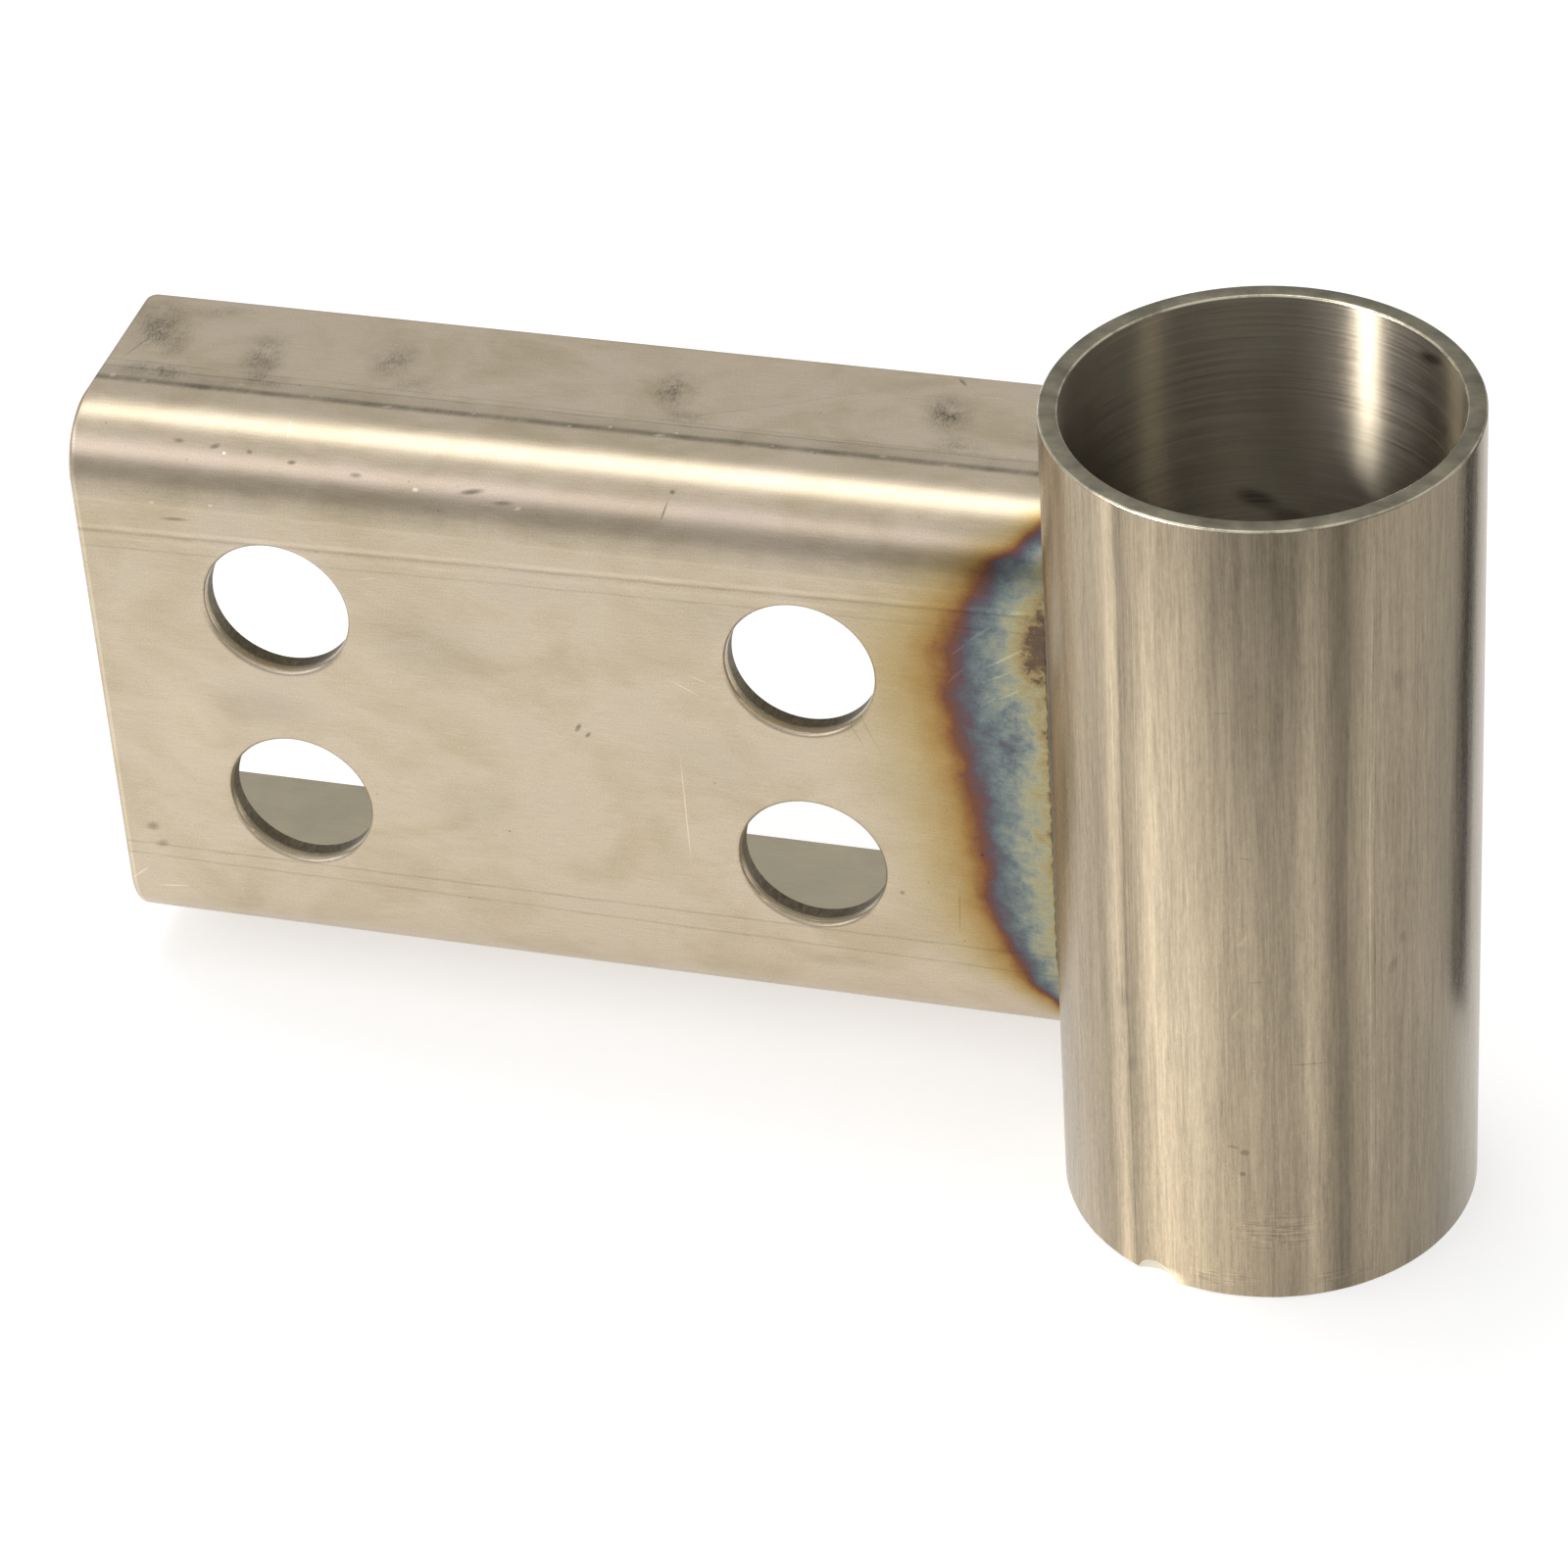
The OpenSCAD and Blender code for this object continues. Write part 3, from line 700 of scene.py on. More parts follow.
# %% Cut the grinding mark
half_length = add(tree, "Math", [size["Length"], -0.5], operation="MULTIPLY")
mark_z = add(tree, "Math", [half_length, size["Mark drop"]], operation="SUBTRACT")
seam_x, seam_y = (add(tree, "Math", [size["Seam"]], operation=way) for way in ("COSINE", "SINE"))
mark_x = add(tree, "Math", [size["Mark out"], seam_x], operation="MULTIPLY")
mark_y = add(tree, "Math", [size["Mark out"], seam_y], operation="MULTIPLY")
wheel_middle = add(tree, "CombineXYZ", [mark_x, mark_y, mark_z])
wheel = add(tree, "GeometryNodeMeshIcoSphere", {"Radius": size["Mark radius"], "Subdivisions": 6})
wheel = add(tree, "GeometryNodeTransform", {"Geometry": wheel, "Translation": wheel_middle})
ground = add(tree, "GeometryNodeMeshBoolean", {"Mesh 1": swept, "Mesh 2": wheel},
             operation="DIFFERENCE", solver="EXACT")
print("the wheel stands", round(WHEEL_OUT / MM, 2), "mm outside the tube")

# %% Find the ends, the bore, the mark and the sharp edges, and give each face its finish
where = add(tree, "GeometryNodeInputPosition")
coords = add(tree, "SeparateXYZ", [where])
facing = add(tree, "SeparateXYZ", [add(tree, "GeometryNodeInputNormal")])
steep = add(tree, "Math", [facing.outputs["Z"]], operation="ABSOLUTE")
is_end = add(tree, "FunctionNodeCompare", {0: steep, 1: 0.5}, operation="GREATER_THAN")
level = add(tree, "CombineXYZ", [coords.outputs["X"], coords.outputs["Y"], 0.0])
reach = add(tree, "VectorMath", [level], operation="LENGTH").outputs["Value"]
just_outside = add(tree, "Math", [size["Bore radius"], 0.2 * MM], operation="ADD")
is_bore = add(tree, "FunctionNodeCompare", {0: reach, 1: just_outside}, operation="LESS_THAN")
to_wheel = add(tree, "VectorMath", [where, wheel_middle], operation="DISTANCE").outputs["Value"]
wheel_rim = add(tree, "Math", [size["Mark radius"], 0.02 * MM], operation="ADD")
on_wheel = add(tree, "FunctionNodeCompare", {0: to_wheel, 1: wheel_rim}, operation="LESS_THAN")
angle = add(tree, "GeometryNodeInputMeshEdgeAngle")
is_soft = add(tree, "FunctionNodeCompare", {0: angle, 1: math.radians(30)}, operation="LESS_THAN")
last = add(tree, "GeometryNodeSetShadeSmooth", {0: ground, "Shade Smooth": True}, domain="FACE")
last = add(tree, "GeometryNodeSetShadeSmooth", {0: last, "Shade Smooth": is_soft}, domain="EDGE")
for faces, finish in ((None, tube_outside), (is_bore, tube_bore), (is_end, tube_ends),
                      (on_wheel, tube_ground)):
    last = add(tree, "GeometryNodeSetMaterial", {0: last, "Selection": faces, "Material": finish})
tube = bake_tree(tree, last, "tube_drawn", TUBE_SIZES)
outward(tube.data)
print("tube faces", len(tube.data.polygons))

# %% [markdown]
# ## The folded channel
# The real channel starts as a flat blank with its corners rounded and its holes punched, and a
# press brake folds it twice. It is made the same way here: every point is first placed on the
# flat blank, with its depth in the sheet, and one function then folds it. A box with bevelled
# edges would look alike from far off, but the grain and the marks of the press would not run
# round the folds with the steel.

# %% How a point of the blank is folded
SHEET = 2.8 * MM
FOLD = 7.0 * MM
flange = flange_edge - web_front - FOLD
bend = FOLD * math.pi / 2
web = channel_top - channel_low - 2 * FOLD
blank_width = 2 * flange + 2 * bend + web
FOLD_STEPS = 24


def fold_sheet(x, s, depth):
    """Where a point of the blank ends up. It lies s across the outer skin, counted from the
    back edge of the top flange, and this deep in the sheet."""
    if s <= flange:
        return Vector((x, flange_edge - s, channel_top - depth))
    s -= flange
    if s <= bend:
        back, up = math.sin(s / FOLD), math.cos(s / FOLD)
        return Vector((x, web_front + FOLD - (FOLD - depth) * back, channel_top - FOLD + (FOLD - depth) * up))
    s -= bend
    if s <= web:
        return Vector((x, web_front + depth, channel_top - FOLD - s))
    s -= web
    if s <= bend:
        back, down = math.cos(s / FOLD), math.sin(s / FOLD)
        return Vector((x, web_front + FOLD - (FOLD - depth) * back,
                       channel_low + FOLD - (FOLD - depth) * down))
    return Vector((x, web_front + FOLD + s - bend, channel_low + depth))


print("blank", round(blank_width / MM, 2), "mm wide")

# %% Where the blank's sides are divided
CORNER = 1.2 * MM
ROLL = 0.6 * MM
SHEAR_ROLL = 0.18 * MM
CORNER_STEPS = 8
BESIDE_FOLD = 0.5 * MM

cuts = [flange - BESIDE_FOLD, flange + 2 * bend + web + BESIDE_FOLD]
for start in (flange, flange + bend + web):
    cuts += [start + bend * step / FOLD_STEPS for step in range(FOLD_STEPS + 1)]
cuts += [flange + bend + BESIDE_FOLD, flange + bend + web - BESIDE_FOLD]
cuts = sorted(cuts)
flats = [CORNER + (flange - BESIDE_FOLD - CORNER) * n / 6 for n in range(1, 6)]
flats += [blank_width - s for s in flats]
flats += [flange + bend + BESIDE_FOLD + (web - 2 * BESIDE_FOLD) * n / 18 for n in range(1, 18)]
side_stops = sorted(cuts + flats)
edge_stops = [free_end + CORNER + (tube_end - free_end - 2 * CORNER) * n / 48 for n in range(1, 48)]
print("sides divided in", len(side_stops) + 1, "and", len(edge_stops) + 1)

# %% The outline of the blank and the holes in it
def round_corner(x, s, start_turn, first_roll, last_roll):
    """Points round one corner of the blank, whose centre is at x, s."""
    points = []
    for step in range(CORNER_STEPS + 1):
        share = step / CORNER_STEPS
        angle = start_turn - share * math.pi / 2
        along_x, along_s = math.cos(angle), math.sin(angle)
        roll = first_roll + (last_roll - first_roll) * share
        points.append(((x + CORNER * along_x, s + CORNER * along_s), (-along_x, -along_s), roll))
    return points


# Each outline point is (x and s, direction inwards, radius of its edge). The edge is rounder
# at the free end than on the other three sides.
near_x, far_x, high_s = free_end + CORNER, tube_end - CORNER, blank_width - CORNER
outline = [((free_end, s), (1, 0), ROLL) for s in side_stops]
outline += round_corner(near_x, high_s, math.pi, ROLL, SHEAR_ROLL)
outline += [((x, blank_width), (0, -1), SHEAR_ROLL) for x in edge_stops]
outline += round_corner(far_x, high_s, math.pi / 2, SHEAR_ROLL, SHEAR_ROLL)
outline += [((tube_end, s), (-1, 0), SHEAR_ROLL) for s in reversed(side_stops)]
outline += round_corner(far_x, CORNER, 0.0, SHEAR_ROLL, SHEAR_ROLL)
outline += [((x, 0.0), (0, 1), SHEAR_ROLL) for x in reversed(edge_stops)]
outline += round_corner(near_x, CORNER, -math.pi / 2, SHEAR_ROLL, ROLL)

pattern = mounts["door_bolts"]
hole_radius = pattern["dims"]["hole_r_mm"] * MM
pitch_x, pitch_z = pattern["dims"]["spacing_x_mm"] * MM, pattern["dims"]["spacing_y_mm"] * MM
HOLE_POINTS = 96
holes, hole_centres = [], []
for side_x in (-1, 1):
    for side_s in (-1, 1):
        x, s = pattern["pos_m"][0] + side_x * pitch_x / 2, flange + bend + web / 2 + side_s * pitch_z / 2
        hole_centres.append(Vector((x, s)) / MM)
        ways = [(math.cos(2 * math.pi * n / HOLE_POINTS), math.sin(2 * math.pi * n / HOLE_POINTS))
                for n in range(HOLE_POINTS)]
        holes.append([((x + hole_radius * dx, s + hole_radius * ds), (dx, ds), ROLL) for dx, ds in ways])
print("outline has", len(outline), "points, and there are", len(holes), "holes")

# %% Rings from the skin down the cut edge
OUTSIDE, INSIDE, EDGE = 0, 1, 2
# The lower edge is broken by BREAK, and each skin starts with a flat rim HOLD wide, which keeps
# the shading of the roll off the flat
BREAK = 0.12 * MM
HOLD = 0.35 * MM
ROLL_STEPS = 6
sheet_points = bmesh.new()
blank_layer = sheet_points.verts.layers.float_vector.new("blank")


def blank_point(x, s, depth):
    """A folded point of the sheet, which remembers its place on the blank in mm."""
    point = sheet_points.verts.new(fold_sheet(x, s, depth))
    point[blank_layer] = (x / MM, s / MM, depth / MM)
    return point


def cut_rings(loop):
    """The rings of points round one cut edge, from the outer skin to the inner one."""
    turns = [math.pi / 2 * (1 - n / ROLL_STEPS) for n in range(ROLL_STEPS + 1)]
    # Each step is (share of the roll's radius inwards, the same downwards, more inwards, depth, finish)
    steps = [(1.0, 0.0, HOLD, 0.0, OUTSIDE)]
    steps += [(1 - math.cos(t), 1 - math.sin(t), 0.0, 0.0, OUTSIDE) for t in turns]
    steps += [(0.0, 0.0, 0.0, SHEET / 2, EDGE), (0.0, 0.0, 0.0, SHEET - BREAK, EDGE)]
    steps += [(0.0, 0.0, BREAK, SHEET, EDGE), (0.0, 0.0, BREAK + HOLD, SHEET, INSIDE)]
    rings = []
    for inset, sink, more, depth, finish in steps:
        ring = []
        for (x, s), (dx, ds), radius in loop:
            inwards = radius * inset + more
            ring.append((x + dx * inwards, s + ds * inwards, radius * sink + depth))
        rings.append((ring, finish))
    return rings


def build_edge(loop):
    """Make the faces of one cut edge. Returns its outermost and innermost rings."""
    rings = [([blank_point(*p) for p in ring], finish) for ring, finish in cut_rings(loop)]
    count = len(loop)
    for (upper, _), (lower, finish) in zip(rings, rings[1:]):
        for n in range(count):
            m = (n + 1) % count
            face = sheet_points.faces.new((upper[n], upper[m], lower[m], lower[n]))
            face.material_index = finish
    return rings[0][0], rings[-1][0]


edges = [build_edge(outline)] + [build_edge(loop) for loop in holes]
print("points on the cut edges:", len(sheet_points.verts))

# %% The two skins
def flat_place(vert):
    """Where a point lay on the flat blank, in mm."""
    return Vector((vert[blank_layer][0], vert[blank_layer][1]))


def fill_skin(side, depth, finish):
    """Fill the flat blank between the rings, split along every line of the folds."""
    points, made, links = [], [], []
    for pair in edges:
        first, count = len(points), len(pair[side])
        points += [flat_place(vert) for vert in pair[side]]
        made += pair[side]
        links += [(first + n, first + (n + 1) % count) for n in range(count)]
    ends = {}
    for number, vert in enumerate(edges[0][side]):
        ends.setdefault(round(vert[blank_layer][1], 4), []).append(number)
    fold_lines = [ends.get(round(s / MM, 4), []) for s in cuts]
    fold_lines = [tuple(pair) for pair in fold_lines if len(pair) == 2]
    got, _, faces, origin, _, _ = delaunay_2d_cdt(points, links + fold_lines, [], 1, 1e-6)
    verts = [made[source[0]] if source else blank_point(place[0] * MM, place[1] * MM, depth)
             for place, source in zip(got, origin)]
    # A triangle between three points next to each other on a hole's ring has its centre at
    # 0.9986 of the ring's radius, and one outside the hole lies beyond the ring
    ring_radius = (flat_place(edges[1][side][0]) - hole_centres[0]).length * 0.9993
    kept = 0
    for corners in faces:
        centre = sum((got[c] for c in corners), Vector((0, 0))) / 3
        if all((centre - hole).length >= ring_radius for hole in hole_centres):
            sheet_points.faces.new([verts[c] for c in corners]).material_index = finish
            kept += 1
    return len(fold_lines), kept


print("outer skin: fold lines and faces", fill_skin(0, 0.0, OUTSIDE))
print("inner skin: fold lines and faces", fill_skin(1, SHEET, INSIDE))

# %% Close it up, turn it outwards and shade it
mesh = bpy.data.meshes.new("channel_folded")
sheet_points.to_mesh(mesh)
sheet_points.free()
for material in (sheet_skin, sheet_inside, cut_edge):
    mesh.materials.append(material)
channel = new_object("channel_folded", mesh)
outward(mesh)
mesh.shade_smooth()
mesh.set_sharp_from_angle(angle=math.radians(32))
print("channel faces", len(mesh.polygons))

# %% [markdown]
# ## The fillet weld
# The welder ran one bead up the notch between the web and the tube. The torch pauses at every
# dab of filler, which leaves a row of crescent ripples about 1.7 mm apart, and the bead gets
# smaller towards both ends. The ripples repeat along a path, so Geometry Nodes make them: a
# grid whose rows go up the weld and whose columns go across its face. The last column closes
# the bead at its root, and the first and last rows shrink to a point there, so it is a closed
# solid.

# %% The bead's section, from the same corner as the CAD weld
LEG = 5.0 * MM
CROWN = 0.7 * MM
root = Vector((-math.sqrt(tube_radius ** 2 - web_front ** 2), web_front))
root_angle = math.atan2(root.y, root.x)
web_toe = root - Vector((LEG, 0))
toe_angle = root_angle + LEG / tube_radius
tube_toe = Vector((math.cos(toe_angle), math.sin(toe_angle))) * tube_radius
chord = tube_toe - web_toe
face_radius = (chord.length / 2) ** 2 / (2 * CROWN) + CROWN / 2
face_centre = (web_toe + tube_toe) / 2 + (face_radius - CROWN) * Vector((-chord.y, chord.x)) / chord.length


def angle_of(toe):
    """Direction of a toe from the centre of the weld's face, from 0 to a full turn."""
    angle = math.atan2(toe.y - face_centre.y, toe.x - face_centre.x)
    return angle + 2 * math.pi if angle < 0 else angle


arc_start, arc_end = angle_of(web_toe), angle_of(tube_toe)
print("weld face radius", round(face_radius / MM, 2), "over", round(math.degrees(arc_end - arc_start)),
      "degrees")

# %% The bead's finish: a frosted, wavy, temper-coloured surface
BEAD_TINT = [(0.30, "6d6258"), (0.42, "8d7c62"), (0.52, "a3977a"), (0.62, "8f958a"), (0.72, "6f7c84")]
weld_metal, tree, shader = metal_material("Stainless weld bead")
place = add(tree, "TexCoord").outputs["Object"]
film_place = add(tree, "VectorMath", [place, (0.26 / MM, 0.26 / MM, 0.19 / MM)], operation="MULTIPLY")
film = add(tree, "TexNoise", {"Vector": film_place, "Scale": 1.0, "Detail": 5.0, "Roughness": 0.6})
frost = add(tree, "TexNoise", {"Vector": place, "Scale": 4.2 / MM, "Detail": 3.0, "Roughness": 0.6})
bead_tone = fill_ramp(add(tree, "ValToRGB", [film]), BEAD_TINT)
rough = add(tree, "Math", [film, 0.25, 0.24], operation="MULTIPLY_ADD")
finish_metal(tree, shader, bead_tone, rough, frost, 0.5, 0.02)
print("weld material has", len(tree.nodes), "nodes")

# %% Rows up the weld, columns across its face
COLUMNS = 28
ROWS = 282
WELD_SIZES = {
    "Low": weld_box[0].z, "Length": weld_box[1].z - weld_box[0].z, "Face radius": face_radius,
    "Ripple pitch": 1.7 * MM, "Ripple depth": 0.16 * MM, "Bow": 1.1 * MM, "Runout": 3.0 * MM,
    "Unevenness": 0.10 * MM,
}
tree, size = start_tree("rippled bead", WELD_SIZES)
grid_size = {"Size X": 1.0, "Size Y": 1.0, "Vertices X": COLUMNS + 2, "Vertices Y": ROWS + 2}
grid = add(tree, "GeometryNodeMeshGrid", grid_size)
spot = add(tree, "SeparateXYZ", [add(tree, "GeometryNodeInputPosition")])
column = add(tree, "Math", [spot.outputs["X"], COLUMNS + 1.0, (COLUMNS + 1.0) / 2], operation="MULTIPLY_ADD")
row = add(tree, "Math", [spot.outputs["Y"], ROWS + 1.0, (ROWS + 1.0) / 2], operation="MULTIPLY_ADD")
# The last column is the first one again, so the two merge and the bead is closed
before_last = add(tree, "Math", [column, COLUMNS + 0.5], operation="LESS_THAN")
column = add(tree, "Math", [column, before_last], operation="MULTIPLY")
climb = add(tree, "MapRange", [row, 1.0, float(ROWS), 0.0, 1.0])
height = add(tree, "Math", [climb, size["Length"], size["Low"]], operation="MULTIPLY_ADD")
turn = add(tree, "MapRange", [column, 0.0, COLUMNS - 1.0, arc_start, arc_end])
off_axis = add(tree, "MapRange", [column, 0.0, COLUMNS - 1.0, -1.0, 1.0])
off_square = add(tree, "Math", [off_axis, off_axis], operation="MULTIPLY")
print("bead grid:", COLUMNS, "columns and", ROWS, "rows")

# %% Ripples and unevenness of the bead's face
wobble_height = add(tree, "Math", [height, 0.3 / MM], operation="MULTIPLY")
wobble_place = add(tree, "CombineXYZ", [off_axis, wobble_height, 0.0])
wobble = add(tree, "TexNoise", {"Vector": wobble_place, "Scale": 1.0, "Detail": 2.0})
bowed = add(tree, "Math", [off_square, size["Bow"], height], operation="MULTIPLY_ADD")
bowed = add(tree, "Math", [wobble, size["Ripple pitch"], bowed], operation="MULTIPLY_ADD")
phase = add(tree, "Math", [bowed, size["Ripple pitch"]], operation="DIVIDE")
crest = add(tree, "Math", [add(tree, "Math", [phase, math.pi], operation="MULTIPLY")], operation="SINE")
crest = add(tree, "Math", [crest], operation="ABSOLUTE")
groove = add(tree, "Math", [1.0, crest], operation="SUBTRACT")
groove = add(tree, "Math", [groove, size["Ripple depth"]], operation="MULTIPLY")
lump = add(tree, "Math", [wobble, size["Unevenness"]], operation="MULTIPLY")
sunk = add(tree, "Math", [groove, lump], operation="ADD")
radius = add(tree, "Math", [size["Face radius"], sunk], operation="SUBTRACT")
cosine, sine = (add(tree, "Math", [turn], operation=way) for way in ("COSINE", "SINE"))
section_x = add(tree, "Math", [cosine, radius, face_centre.x], operation="MULTIPLY_ADD")
section_y = add(tree, "Math", [sine, radius, face_centre.y], operation="MULTIPLY_ADD")
section_point = add(tree, "CombineXYZ", [section_x, section_y, 0.0])
is_root = add(tree, "FunctionNodeCompare", {0: column, 1: COLUMNS - 0.5}, operation="GREATER_THAN")
root_point = (root.x, root.y, 0.0)
section_point = add(tree, "Mix", {0: is_root, 4: section_point, 5: root_point}, data_type="VECTOR").outputs[1]
print("ripples:", round(WELD_SIZES["Length"] / WELD_SIZES["Ripple pitch"]))

# %% Run out both ends of the bead
# The very ends keep this share of the bead's full height
END_SHARE = 0.35
from_low = add(tree, "Math", [climb, size["Length"]], operation="MULTIPLY")
from_high = add(tree, "Math", [size["Length"], from_low], operation="SUBTRACT")
near_end = add(tree, "Math", [from_low, from_high], operation="MINIMUM")
ease = add(tree, "Math", [near_end, size["Runout"]], operation="DIVIDE")
ease = add(tree, "Math", [1.0, ease], operation="SUBTRACT", use_clamp=True)
ease = add(tree, "Math", [1.0, add(tree, "Math", [ease, ease], operation="MULTIPLY")], operation="SUBTRACT")
ease = add(tree, "Math", [ease], operation="SQRT")
full = add(tree, "Math", [ease, 1 - END_SHARE, END_SHARE], operation="MULTIPLY_ADD")
# The first and the last row shrink to a point at the root
past_first = add(tree, "Math", [row, 0.5], operation="GREATER_THAN")
before_end = add(tree, "Math", [row, ROWS + 0.5], operation="LESS_THAN")
for inside in (past_first, before_end):
    full = add(tree, "Math", [full, inside], operation="MULTIPLY")
arm = add(tree, "VectorMath", [section_point, root_point], operation="SUBTRACT")
arm = add(tree, "VectorMath", {"Vector": arm, "Scale": full}, operation="SCALE")
level = add(tree, "VectorMath", [arm, root_point], operation="ADD")
lifted = add(tree, "VectorMath", [level, add(tree, "CombineXYZ", [0.0, 0.0, height])], operation="ADD")
moved = add(tree, "GeometryNodeSetPosition", {"Geometry": grid, "Position": lifted})
joined = add(tree, "GeometryNodeMergeByDistance", {"Geometry": moved, "Distance": 0.0005 * MM})
smooth = add(tree, "GeometryNodeSetShadeSmooth", {0: joined, "Shade Smooth": True}, domain="FACE")
last = add(tree, "GeometryNodeSetMaterial", {0: smooth, "Material": weld_metal})
weld = bake_tree(tree, last, "weld_bead", WELD_SIZES)
outward(weld.data)
weld.data.set_sharp_from_angle(angle=math.radians(50))
print("weld faces", len(weld.data.polygons))

# %% [markdown]
# ## Floor, light and backdrop
# A white sheet of paper under soft light, with a shadow painted on it in front of the bracket.
# Metal has no colour of its own to speak of and shows what stands round it, so the light is
# planned from what the bracket mirrors: the web and the tube mirror the paper, the upper fold
# runs from the paper up past the window in front to the soft box overhead, and the top flange
# mirrors the room behind. A small flash lights the tube alone, for the glint in its bore and on
# its rim. A black card beside the tube gives the dark strip down its right side.

# %% The paper
REACH = 3.0
paper_corners = [(-REACH, -REACH, foot), (REACH, -REACH, foot), (REACH, REACH, foot), (-REACH, REACH, foot)]
floor_mesh = bpy.data.meshes.new("paper")
floor_mesh.from_pydata(paper_corners, [], [(0, 1, 2, 3)])
floor = new_object("paper", floor_mesh)
paper = bpy.data.materials.new("White paper")
tree = empty_tree(paper)
# The sheet gets greyer towards the photographer, outside the picture: a painted shadow, which the metal
# mirrors
ahead_of = add(tree, "SeparateXYZ", [add(tree, "TexCoord").outputs["Object"]])
fade = add(tree, "MapRange", [ahead_of.outputs["Y"], -0.20, -0.072, 0.46, 1.0])
faded = {0: fade, 6: (0.0, 0.0, 0.0, 1.0), 7: (0.66, 0.66, 0.65, 1.0)}
matt = add(tree, "BsdfDiffuse", {"Color": add(tree, "Mix", faded, **COLOURS).outputs[2]})
# It also glows a little, only for the camera and the metal that mirrors it
GLOW = 0.54
seen = add(tree, "LightPath")
direct = add(tree, "Math", [seen.outputs["Is Camera Ray"], seen.outputs["Is Glossy Ray"]],
             operation="MAXIMUM")
direct = add(tree, "Math", [direct, seen.outputs["Is Transmission Ray"]], operation="MAXIMUM")
lift = add(tree, "Math", [add(tree, "Math", [direct, fade], operation="MULTIPLY"), GLOW],
           operation="MULTIPLY")
glow = add(tree, "Emission", {"Color": (1.0, 1.0, 1.0, 1.0), "Strength": lift})
add(tree, "OutputMaterial", [add(tree, "AddShader", [matt, glow])])
floor_mesh.materials.append(paper)
print("paper is", round(2 * REACH, 1), "m wide")

# %% The room: pale walls, a dimmer skirting and a brighter ceiling
ROOM = [(0.0, 0.42), (0.12, 0.44), (0.30, 0.54), (0.55, 0.64), (0.80, 0.74), (1.0, 0.80)]
world = bpy.data.worlds.new("room")
bpy.context.scene.world = world
tree = empty_tree(world)
way = add(tree, "SeparateXYZ", [add(tree, "TexCoord").outputs["Generated"]])
rise = fill_ramp(add(tree, "ValToRGB", [way.outputs["Z"]]), ROOM)
add(tree, "OutputWorld", [add(tree, "Background", [rise, 1.0])])
print("room from", ROOM[0][1], "to", ROOM[-1][1])

# %% A box overhead, a window and a small flash
# The lamps all face this place, the middle of the bracket
AIM = Vector((-0.055, 0.0, 0.0))


def soft_box(name, azimuth, elevation, distance, width, height, radiance, colour):
    """An area lamp that faces the bracket. Azimuth is counted from +X towards +Y."""
    a, e = math.radians(azimuth), math.radians(elevation)
    away = Vector((math.cos(a) * math.cos(e), math.sin(a) * math.cos(e), math.sin(e)))
    lamp = bpy.data.lights.new(name, "AREA")
    lamp.shape = "RECTANGLE"
    lamp.size, lamp.size_y = width, height
    lamp.energy = radiance * math.pi * width * height
    lamp.color = paint(colour)[:3]
    thing = new_object(name, lamp)
    thing.location = AIM + away * distance
    thing.rotation_euler = (-away).to_track_quat("-Z", "Y").to_euler()
    print(name, "shines with", round(lamp.energy, 2), "W")
    return thing


soft_box("overhead box", 138, 71, 0.9, 0.50, 0.42, 2.6, "fdfdff")
soft_box("window", -139, 32, 1.3, 1.56, 0.50, 1.45, "f1ebfd")
flash = soft_box("flash", -134, 30, 0.5, 0.06, 0.14, 130.0, "fffcf8")
# The flash is flagged off the paper and the channel, so that only the tube shows its glint
flash.visible_diffuse = False
flagged = bpy.data.collections.new("lit by the flash")
flagged.objects.link(tube)
flash.light_linking.receiver_collection = flagged

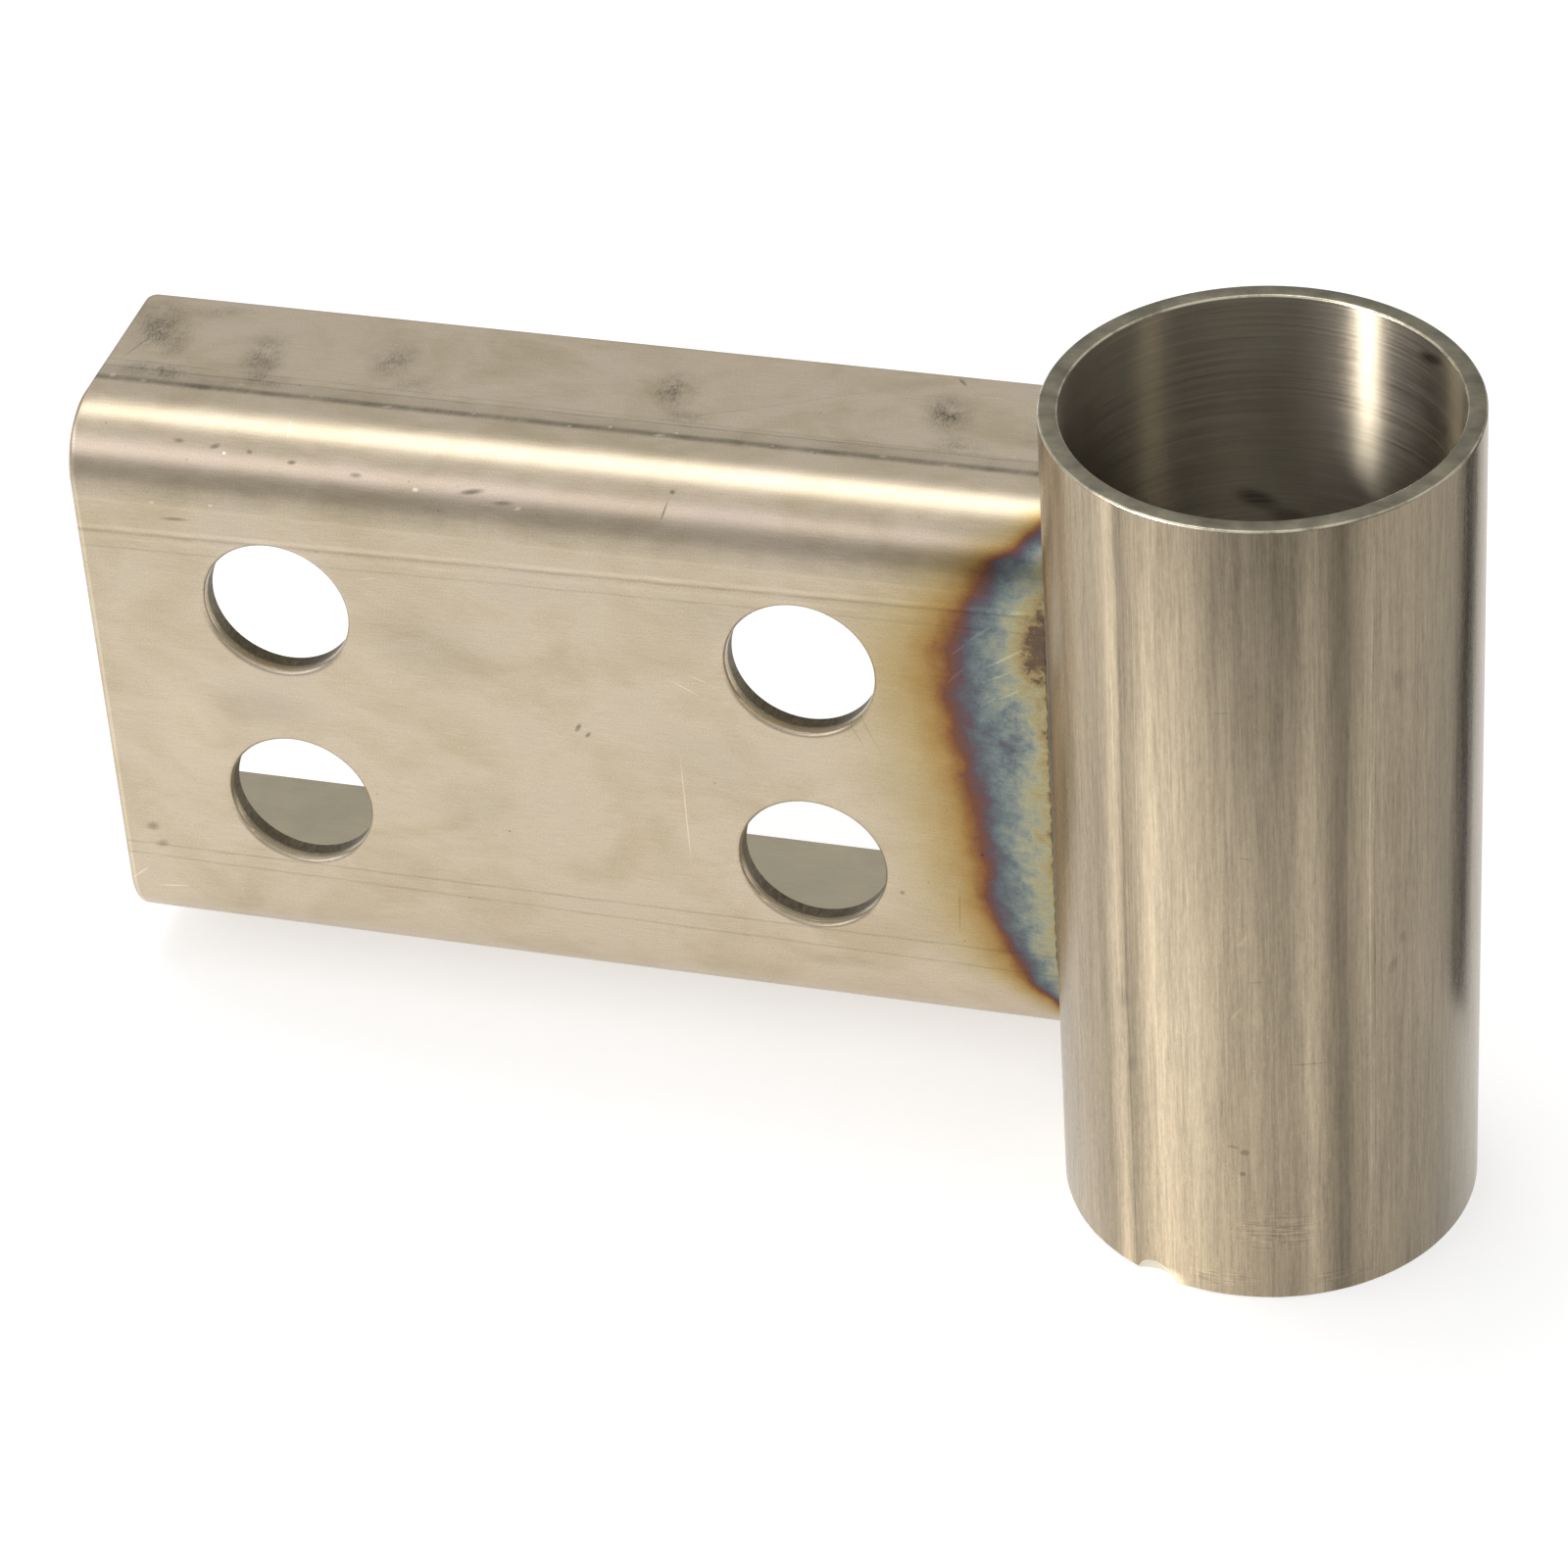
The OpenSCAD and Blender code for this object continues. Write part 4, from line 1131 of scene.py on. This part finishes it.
# %% A black card beside the tube, out of sight: its reflection is the dark strip down the right
CARD_PLACE, CARD_TURN = Vector((42.4, 19.6)) * MM, math.radians(139)
CARD_HALF, CARD_TOP = 6.5 * MM, 46 * MM
card_side = Vector((math.cos(CARD_TURN), math.sin(CARD_TURN))) * CARD_HALF
card_ends = [CARD_PLACE - card_side, CARD_PLACE + card_side]
card_corners = [(*card_ends[k], z) for k, z in ((0, foot), (1, foot), (1, CARD_TOP), (0, CARD_TOP))]
card_mesh = bpy.data.meshes.new("black_card")
card_mesh.from_pydata(card_corners, [], [(0, 1, 2, 3)])
card = new_object("black_card", card_mesh)
black = bpy.data.materials.new("Black card")
tree = empty_tree(black)
dull = add(tree, "BsdfDiffuse", {"Color": (0.012, 0.014, 0.018, 1.0)})
add(tree, "OutputMaterial", [dull])
card_mesh.materials.append(black)
card.visible_camera = card.visible_shadow = card.visible_diffuse = False
print("card is", round(2 * CARD_HALF / MM, 1), "mm wide")

# %% [markdown]
# ## The camera
# It stands where the photographer stood, worked out from edges of the bracket: in front, a
# little to the right and above, with a long lens, and it is tilted by four degrees.

# %% Camera
CAMERA_PLACE = Vector((100.39, -460.18, 355.40)) * MM
TURN, TILT, LEAN = math.radians(18.084), math.radians(36.680), math.radians(4.137)
# The focal length in pixels of a picture 1600 pixels wide
FOCUS, PICTURE, FILM = 6077.7, 1600, 36.0
ahead = Vector((-math.sin(TURN) * math.cos(TILT), math.cos(TURN) * math.cos(TILT), -math.sin(TILT)))
right = Vector((math.cos(TURN), math.sin(TURN), 0))
down = ahead.cross(right)
right_leaned = math.cos(LEAN) * right + math.sin(LEAN) * down
down_leaned = -math.sin(LEAN) * right + math.cos(LEAN) * down
camera_data = bpy.data.cameras.new("camera")
camera_data.sensor_width = FILM
camera_data.lens = FILM * FOCUS / PICTURE
camera_data.clip_start, camera_data.clip_end = 0.02, 20
camera = new_object("camera", camera_data)
turned = Matrix((right_leaned, -down_leaned, -ahead)).transposed().to_4x4()
camera.matrix_world = Matrix.Translation(CAMERA_PLACE) @ turned
bpy.context.scene.camera = camera
bpy.context.scene.view_settings.view_transform = "Standard"
print("lens", round(camera_data.lens, 2), "mm")

# %% Hang each piece from the root and hide the CAD node it replaces
PIECES = (
    (tube, "pivot_tube", "tube_stainless"), (channel, "channel_bracket", "sheet_stainless"),
    (weld, "fillet_weld", "weld_metal"),
)
for piece, node, slot in PIECES:
    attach(piece, "root")
    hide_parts(node)
print("pieces:", [node for _, node, _ in PIECES])
